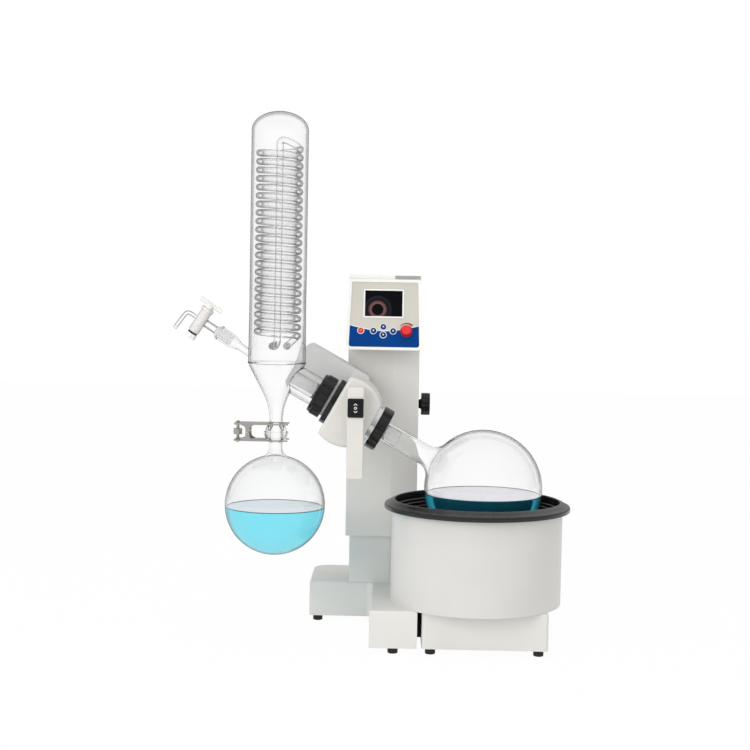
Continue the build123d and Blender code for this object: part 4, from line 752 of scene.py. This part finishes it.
# hand nuts of the head: rounded edges, round grooves for the fingers
nuts = {
    "condenserNut": {
        "body": "head", "node": "condenser_nut", "grooves": 12, "deep": 2.4, "half": 8.0, "plainRows": 4,
        "outside": [(25, -58), (31.6, -58), (33, -56.6), (33, -53.6), (34, -53), (35, -52), (35, -37),
                    (34, -36)],
        "inside": [(29.1, -36), (29.1, -48.2), (23.8, -48.2), (23.8, -57.6)]},
    "flaskNut": {
        "body": "rotor", "node": "flask_nut", "grooves": 8, "deep": 3.4, "half": 10.0, "plainRows": 1,
        "outside": [(27, 50), (34.4, 50), (36, 51.6), (36, 65.4), (34.4, 67), (18, 67)],
        "inside": [(16.8, 66.6), (16.8, 62.1), (26.1, 62.1), (26.1, 50.3)]},
}
gripRadius = 30.0


# how deep the nut is cut at an angle in degrees
def grooveAt(nut, angle):
    pitch = 360 / nut["grooves"]
    off = abs((angle + pitch / 2) % pitch - pitch / 2) / nut["half"]
    return nut["deep"] * (1 + cos(pi * min(1, off))) / 2


def grooved(name, nut, steps=240):
    side = Vector((0, -1, 0))
    other = rotor["along"].cross(side)
    rows = nut["outside"] + nut["inside"]
    verts = []
    for row, (radius, s) in enumerate(rows):
        cut = nut["plainRows"] <= row < len(nut["outside"]) and radius > gripRadius
        for i in range(steps):
            turn = 2 * pi * i / steps
            reach = radius - grooveAt(nut, 360 * i / steps) if cut else radius
            out = (side * cos(turn) + other * sin(turn)) * reach
            verts.append(rotor["head"] + (out + rotor["along"] * s) * mm)
    piece = newMesh(name, verts, [], ringFaces(len(rows), steps))
    closeSkin(False)
    smooth(piece, 35)
    return piece


for name, nut in nuts.items():
    mount(grooved(name, nut), "blackNut", nut["body"], "black_plastic", nut["node"])
print("hand nuts done")

# joint clamp: two forked plates, each with waisted links folded from its sides
clamp = {"half": 13.0, "thick": 2.0, "reach": 20.0, "tail": 66.0, "wide": 20.0, "link": -44.0, "waist": 3.1,
         "screw": -61.0, "hole": 2.6, "tip": 2.0, "corner": 4.0}
forks = {"clampTop": {"side": 1, "slot": 12.34, "node": "clamp_upper_jaw"},
         "clampFoot": {"side": -1, "slot": 15.67, "node": "clamp_lower_jaw"}}


def onClamp(x, y, z):
    return condenserLine + Vector((x, y, jacket["ballZ"] + z)) * mm


def forkOutline(slot):
    edge, tip, corner = clamp["wide"], clamp["tip"], clamp["corner"]
    far, back = clamp["reach"] - tip, corner - clamp["tail"]
    out = arc(back, corner - edge, corner, 180, 270, 6)
    out += arc(far, tip - edge, tip, 270, 360, 5) + arc(far, -slot - tip, tip, 0, 90, 5)
    out += arc(0, 0, slot, 270, 90, 28)
    out += arc(far, slot + tip, tip, 270, 360, 5) + arc(far, edge - tip, tip, 0, 90, 5)
    return out + arc(back, edge - corner, corner, 90, 180, 6)


for name, jaw in forks.items():
    outline = forkOutline(jaw["slot"])
    low = clamp["half"] * jaw["side"] - clamp["thick"] / 2
    high = low + clamp["thick"]
    fork = slab(name, [onClamp(x, y, low) for x, y in outline], [onClamp(x, y, high) for x, y in outline])
    waist = [(9.5, 12.6), (9.5, 11.0)] + arc(9.5, 4.6, 9.5 - clamp["waist"], 90, 180, 8)
    waist.append((clamp["waist"], 0.4))
    link = [(clamp["link"] + x, z * jaw["side"]) for x, z in waist]
    link += [(clamp["link"] - x, z * jaw["side"]) for x, z in reversed(waist)]
    for edge in (-1, 1):
        near, far = edge * (clamp["wide"] - clamp["thick"]), edge * (clamp["wide"] - 0.05)
        leaf = slab("leaf", [onClamp(x, near, z) for x, z in link], [onClamp(x, far, z) for x, z in link])
        joinWith(fork, leaf, "UNION")
    screwAt = onClamp(clamp["screw"], 0, clamp["half"] * jaw["side"])
    hole = clamp["hole"] * mm
    bpy.ops.mesh.primitive_cylinder_add(vertices=40, radius=hole, depth=8 * mm, location=screwAt)
    joinWith(fork, bpy.context.object, "DIFFERENCE")
    smooth(fork, 30)
    mount(fork, "stampedSteel", "head", "steel", jaw["node"])
print("clamp done")

# printing on the console: flat plates on the leaning panel
panel = {"at": Vector((15.15, 5.5, 464.0)) * mm, "lean": radians(15), "low": 58.0, "foot": 5.0, "corner": 4.5,
         "face": -1.0}
panelSunk = panel["face"] - 0.1
panelOut = Vector((0, -cos(panel["lean"]), sin(panel["lean"])))
panelUp = Vector((0, sin(panel["lean"]), cos(panel["lean"])))


def onPanel(u, v, w):
    return panel["at"] + (Vector((1, 0, 0)) * u + panelUp * v + panelOut * w) * mm


def printPlate(name, outline, lift, finish, body, slot):
    low = [onPanel(u, v, panelSunk) for u, v in outline]
    high = [onPanel(u, v, panel["face"] + lift) for u, v in outline]
    return mount(slab(name, low, high), finish, body, slot)


def printRing(name, u, v, inner, outer, low, high, finish, body, slot):
    profile = [(inner, low), (outer, low), (outer, high - 0.1), (outer - 0.1, high), (inner, high)]
    return mount(spinProfile(name, profile, onPanel(u, v, 0), panelOut, 48), finish, body, slot)


field = {"edge": 41.5, "dip": 32.0, "line": 1.1, "half": 57.0, "bow": 1.7, "steps": 40}


def fieldEdge(u):
    return field["dip"] + (field["edge"] - field["dip"]) * abs(u / field["half"]) ** field["bow"]


span = [field["half"] * (2 * i / field["steps"] - 1) for i in range(field["steps"] + 1)]
rim = panel["low"] - 0.1
foot = panel["foot"] + 0.1
lowLeft = arc(-rim + panel["corner"], foot + panel["corner"], panel["corner"], 180, 270, 6)
lowRight = arc(rim - panel["corner"], foot + panel["corner"], panel["corner"], 270, 360, 6)
blueShape = lowLeft + lowRight + [(u, fieldEdge(u)) for u in reversed(span)]
printPlate("blueField", blueShape, 0.06, "printBlue", "carriage", "panel_print")
lineShape = [(u, fieldEdge(u) - 0.1) for u in span]
lineShape += [(u, fieldEdge(u) + field["line"]) for u in reversed(span)]
printPlate("fieldLine", lineShape, 0.1, "printWhite", "carriage", "panel_print")

# screen frame in white over the panel's own raised frame, and the dark pane in it, which carries a painted
# reflection
screen = {"u": -1.7, "v": 78.7, "wide": 67.0, "high": 49.0, "frame": 2.5, "proud": 0.4, "pane": 0.15,
          "corner": 2.5, "steps": 6}
corners = ((1, 1), (-1, 1), (-1, -1), (1, -1))


def squareAt(wide, high):
    return [(screen["u"] + sx * wide / 2, screen["v"] + sy * high / 2) for sx, sy in corners]


def frameLoop(wide, high, lift):
    out = []
    middles = squareAt(wide - 2 * screen["corner"], high - 2 * screen["corner"])
    for quarter, (cu, cv) in enumerate(middles):
        turn = 90 * quarter
        bend = arc(cu, cv, screen["corner"], turn, turn + 90, screen["steps"])
        out += [onPanel(u, v, lift) for u, v in bend]
    return out


def squareLoop(wide, high, lift):
    out = []
    for u, v in squareAt(wide, high):
        out += [onPanel(u, v, lift)] * (screen["steps"] + 1)
    return out


openWide, openHigh = screen["wide"] - 2 * screen["frame"], screen["high"] - 2 * screen["frame"]
loops = [frameLoop(screen["wide"] + 0.2, screen["high"] + 0.2, panelSunk),
         frameLoop(screen["wide"] - 0.4, screen["high"] - 0.4, screen["proud"]),
         squareLoop(openWide - 0.1, openHigh - 0.1, screen["proud"]),
         squareLoop(openWide - 0.1, openHigh - 0.1, panelSunk)]
screenFrame = newMesh("screenFrame", sum(loops, []), [], ringFaces(len(loops), len(loops[0])))
closeSkin()
mount(screenFrame, "printWhite", "carriage", "panel_print")
pane = squareAt(openWide + 0.4, openHigh + 0.4)
paneLow = [onPanel(u, v, panelSunk) for u, v in pane]
screenPane = slab("screenPane", paneLow, [onPanel(u, v, screen["pane"]) for u, v in pane])
mount(screenPane, "screenGlass", "carriage", "screen_black", "display_screen")

# white rings round the buttons, arrows on the four keys
buttons = {"red_button": (-38.6, 32.5), "key_left": (-17.8, 32.5), "key_right": (14.6, 32.5),
           "key_up": (-1.6, 39.3), "key_down": (-1.6, 25.7)}
arrowTurn = {"key_left": 180, "key_right": 0, "key_up": 90, "key_down": 270}
keyMark = {"bore": 4.75, "ring": 5.9, "ringTop": panel["face"] + 0.3, "arrow": 1.9, "low": 1.15, "high": 1.28}
for name, (u, v) in buttons.items():
    printRing(name + "Ring", u, v, keyMark["bore"], keyMark["ring"], panelSunk, keyMark["ringTop"],
              "printWhite", "carriage", "panel_print")
for name, turn in arrowTurn.items():
    u, v = buttons[name]
    tips = arc(u, v, keyMark["arrow"], turn, turn + 240, 2)
    low = [onPanel(a, b, keyMark["low"]) for a, b in tips]
    high = [onPanel(a, b, keyMark["high"]) for a, b in tips]
    mount(slab(name + "Arrow", low, high), "printWhite", name, "panel_print")
u, v = buttons["red_button"]
printRing("redButtonMark", u, v, 1.3, 1.9, 1.1, keyMark["high"], "printRose", "red_button", "panel_print")

# dark collar under the speed knob and the red sweep printed over it
knob = {"u": 36.4, "v": 32.5, "bore": 2.8, "collar": 10.1, "top": 0.58, "sweep": 12.6, "from": 140,
        "turn": -95, "slim": 1.0, "grow": 1.5, "steps": 16}
printRing("knobCollar", knob["u"], knob["v"], knob["bore"], knob["collar"], panelSunk, knob["top"],
          "printRed", "carriage", "panel_print")


def sweepEdge(share):
    out = []
    for i in range(knob["steps"] + 1):
        done = i / knob["steps"]
        reach = knob["sweep"] + share * (knob["slim"] + knob["grow"] * done)
        angle = radians(knob["from"] + knob["turn"] * done)
        out.append((knob["u"] + reach * cos(angle), knob["v"] + reach * sin(angle)))
    return out


printPlate("knobSweep", sweepEdge(-0.3) + sweepEdge(1)[::-1], 0.15, "printRed", "carriage", "panel_print")
print("console printing done")

# signs on the lift rocker: up, ring, down
rocker = {"x": -25.5, "y": -143.0, "z": 379.0, "gap": 5.0, "half": 2.6, "rise": 2.2, "stroke": 1.3,
          "thick": 0.12, "ring": (1.3, 2.2)}


def onRocker(x, z, out):
    return Vector((rocker["x"] + x, rocker["y"] - out, rocker["z"] + z)) * mm


for name, way in (("signUp", 1), ("signDown", -1)):
    foot = way * (rocker["gap"] - rocker["rise"] / 2)
    chevron = [(-rocker["half"], foot), (0, foot + way * rocker["rise"]), (rocker["half"], foot)]
    shape = chevron + [(x, z + way * rocker["stroke"]) for x, z in reversed(chevron)]
    low = [onRocker(x, z, -0.1) for x, z in shape]
    high = [onRocker(x, z, rocker["thick"]) for x, z in shape]
    mount(slab(name, low, high), "printWhite", "lift_rocker", "panel_print")
inner, outer = rocker["ring"]
ringShape = [(inner, -0.1), (outer, -0.1), (outer, rocker["thick"]), (inner, rocker["thick"])]
signRing = spinProfile("signRing", ringShape, onRocker(0, 0, 0), (0, -1, 0), 32)
mount(signRing, "printWhite", "lift_rocker", "panel_print")
print("switch signs done")

# bath rim with a rolled lip, and the stepped wall just under it
bath = {"x": 0.16944, "inner": 131.0, "outer": 148.0, "shell": 136.4, "top": 230.6, "lipTop": 223.6,
        "lipLow": 216.0, "seat": 218.6,
        "steps": [(130.9, 218.3), (129.9, 216.8), (129.9, 212.6), (128.9, 211.4), (128.9, 206.4),
                  (128.2, 205.2), (128.1, 198.4), (130.9, 198.4)]}
bathLine = Vector((bath["x"], axisY, 0))
rimShape = [(bath["inner"], bath["seat"])] + arc(bath["inner"] + 1.6, bath["top"] - 1.6, 1.6, 180, 68, 8)
rimShape += [(bath["inner"] + 7.5, bath["top"] - 2.4), (bath["outer"] - 4.5, bath["lipTop"] + 0.9)]
rimShape += arc(bath["outer"] - 3.4, bath["lipTop"] - 2.6, 3.4, 75, 0, 8)
rimShape += arc(bath["outer"] - 1.6, bath["lipLow"] + 1.6, 1.6, 0, -90, 6)
rimShape += [(bath["shell"], bath["lipLow"]), (bath["shell"], bath["seat"])]
bathRim = spinProfile("bathRim", rimShape, bathLine, upright, 160)
smooth(bathRim, 40)
mount(bathRim, "rimBlack", "stand", "black_plastic", "bath_rim")
potSteps = spinProfile("potSteps", bath["steps"], bathLine, upright, 160)
smooth(potSteps, 25)
mount(potSteps, "rimBlack", "stand", "black_plastic")
print("bath rim done")

# cap on the sleeve: a pale lid whose right facet is grey
cap = {"left": -44.5, "right": 74.8, "front": 53.5, "back": 186.0, "fold": 30.8, "slant": radians(13.5),
       "low": 580.9, "high": 587.0, "edge": 0.8}
capCorner = cap["front"] + (cap["right"] - cap["fold"]) * tan(cap["slant"])


def capPlate(name, outline, low, high):
    lower = [Vector((x, y, low)) * mm for x, y in outline]
    return slab(name, lower, [Vector((x, y, high)) * mm for x, y in outline])


lid = [(cap["left"], cap["front"]), (cap["fold"], cap["front"]), (cap["right"], capCorner),
       (cap["right"], cap["back"]), (cap["left"], cap["back"])]
sleeveCap = capPlate("sleeveCap", lid, cap["low"], cap["high"])
edge = sleeveCap.modifiers.new("edge", "BEVEL")
edge.width = cap["edge"] * mm
edge.segments = 2
edge.limit_method = "ANGLE"
applyAll(sleeveCap)
smooth(sleeveCap, 30)
mount(sleeveCap, "housingWhite", "carriage", "white_plastic")
stripLeft, stripRight = cap["fold"] + 1, cap["right"] - 0.4
strip = [(stripLeft, cap["front"] - 0.3), (stripRight, capCorner - 0.4), (stripRight, capCorner + 1.5),
         (stripLeft, cap["front"] + 1.5)]
capStrip = capPlate("capStrip", strip, cap["low"] + 0.4, cap["high"] - 0.4)
mount(capStrip, "stripGrey", "carriage", "grey_casing")
print("sleeve cap done")

# floor and light
stageFloor = {"size": 12.0, "glow": 0.97, "world": 0.68}
bpy.ops.object.select_all(action="DESELECT")
bpy.ops.mesh.primitive_plane_add(size=stageFloor["size"], location=(0, 0, 0))
floor = bpy.context.object
floor.name = "benchFloor"
mat, tree, shader, place = startMaterial("floorPale")
fill(shader, "Base Color", (0.9, 0.9, 0.9, 1))
fill(shader, "Roughness", 0.9)
fill(shader, "Specular IOR Level", 0.0)
glow = tree.nodes.new("ShaderNodeEmission")
fill(glow, "Strength", 1.0)
ray, seen = seenRays(tree)
share = mathOf(tree, "MULTIPLY", seen, stageFloor["glow"])
mix = blend(tree, share, shader.outputs["BSDF"], glow.outputs["Emission"])
tree.links.new(mix, tree.nodes["Material Output"].inputs["Surface"])
floor.data.materials.append(mat)

# studio: white where seen or seen through, darker toward the horizon in reflections
world = bpy.data.worlds.new("studio")
bpy.context.scene.world = world
world.use_nodes = True
tree = world.node_tree
plain = tree.nodes["Background"]
fill(plain, "Color", (1, 1, 1, 1))
fill(plain, "Strength", stageFloor["world"])
white = tree.nodes.new("ShaderNodeBackground")
fill(white, "Strength", 1.0)
heading = tree.nodes.new("ShaderNodeNewGeometry")
parts = tree.nodes.new("ShaderNodeSeparateXYZ")
tree.links.new(heading.outputs["Incoming"], parts.inputs[0])
height = tree.nodes.new("ShaderNodeMath")
height.operation = "MULTIPLY_ADD"
fill(height, 1, -0.5)
fill(height, 2, 0.5)
tree.links.new(parts.outputs["Z"], height.inputs[0])
sky = rampOf(tree, height.outputs["Value"], [(0.45, 0.3), (0.62, 0.55), (0.85, 1.0)])
ray, seen = seenRays(tree)
tone = tree.nodes.new("ShaderNodeMix")
tone.data_type = "RGBA"
mirrored = mathOf(tree, "SUBTRACT", ray["Is Glossy Ray"], ray["Is Transmission Ray"])
tree.links.new(mirrored, tone.inputs["Factor"])
fill(tone, 6, (1, 1, 1, 1))
tree.links.new(sky.outputs["Color"], tone.inputs[7])
tree.links.new(tone.outputs[2], white.inputs["Color"])
mix = blend(tree, seen, plain.outputs["Background"], white.outputs["Background"])
tree.links.new(mix, tree.nodes["World Output"].inputs["Surface"])

lamps = {
    "keyLamp": {"at": (-2.2, -2.6, 1.6), "size": 2.0, "power": 47.0},
    "fillLamp": {"at": (1.8, -2.6, 1.2), "size": 2.4, "power": 12.0},
    "topLamp": {"at": (0.2, -0.6, 2.8), "size": 2.2, "power": 14.0},
}
lampTarget = Vector((0.0, -0.05, 0.35))
for name, lamp in lamps.items():
    bpy.ops.object.light_add(type="AREA", location=lamp["at"])
    light = bpy.context.object
    light.name = name
    light.data.size = lamp["size"]
    light.data.energy = lamp["power"]
    light.visible_glossy = False
    light.visible_transmission = False
    aim = lampTarget - Vector(lamp["at"])
    light.rotation_euler = aim.to_track_quat("-Z", "Y").to_euler()

# camera where the picture was taken from
shot = {"at": (37.5, -2440.5, 562.0), "down": 3.26, "left": 0.845, "roll": 1.05, "lens": 71.6}
cameraData = bpy.data.cameras.new("shotCamera")
camera = bpy.data.objects.new("shotCamera", cameraData)
bpy.context.scene.collection.objects.link(camera)
cameraData.lens = shot["lens"]
cameraData.sensor_width = 36.0
cameraData.clip_end = 50.0
aim = Euler((radians(90 - shot["down"]), 0, radians(shot["left"]))).to_matrix().to_4x4()
roll = Matrix.Rotation(radians(shot["roll"]), 4, "Z")
camera.matrix_world = Matrix.Translation(Vector(shot["at"]) * mm) @ aim @ roll
bpy.context.scene.camera = camera

# light has to pass the many walls of jacket and coil
bpy.context.scene.cycles.max_bounces = 36
bpy.context.scene.cycles.transmission_bounces = 36
bpy.context.scene.cycles.transparent_max_bounces = 24
print("stage set")
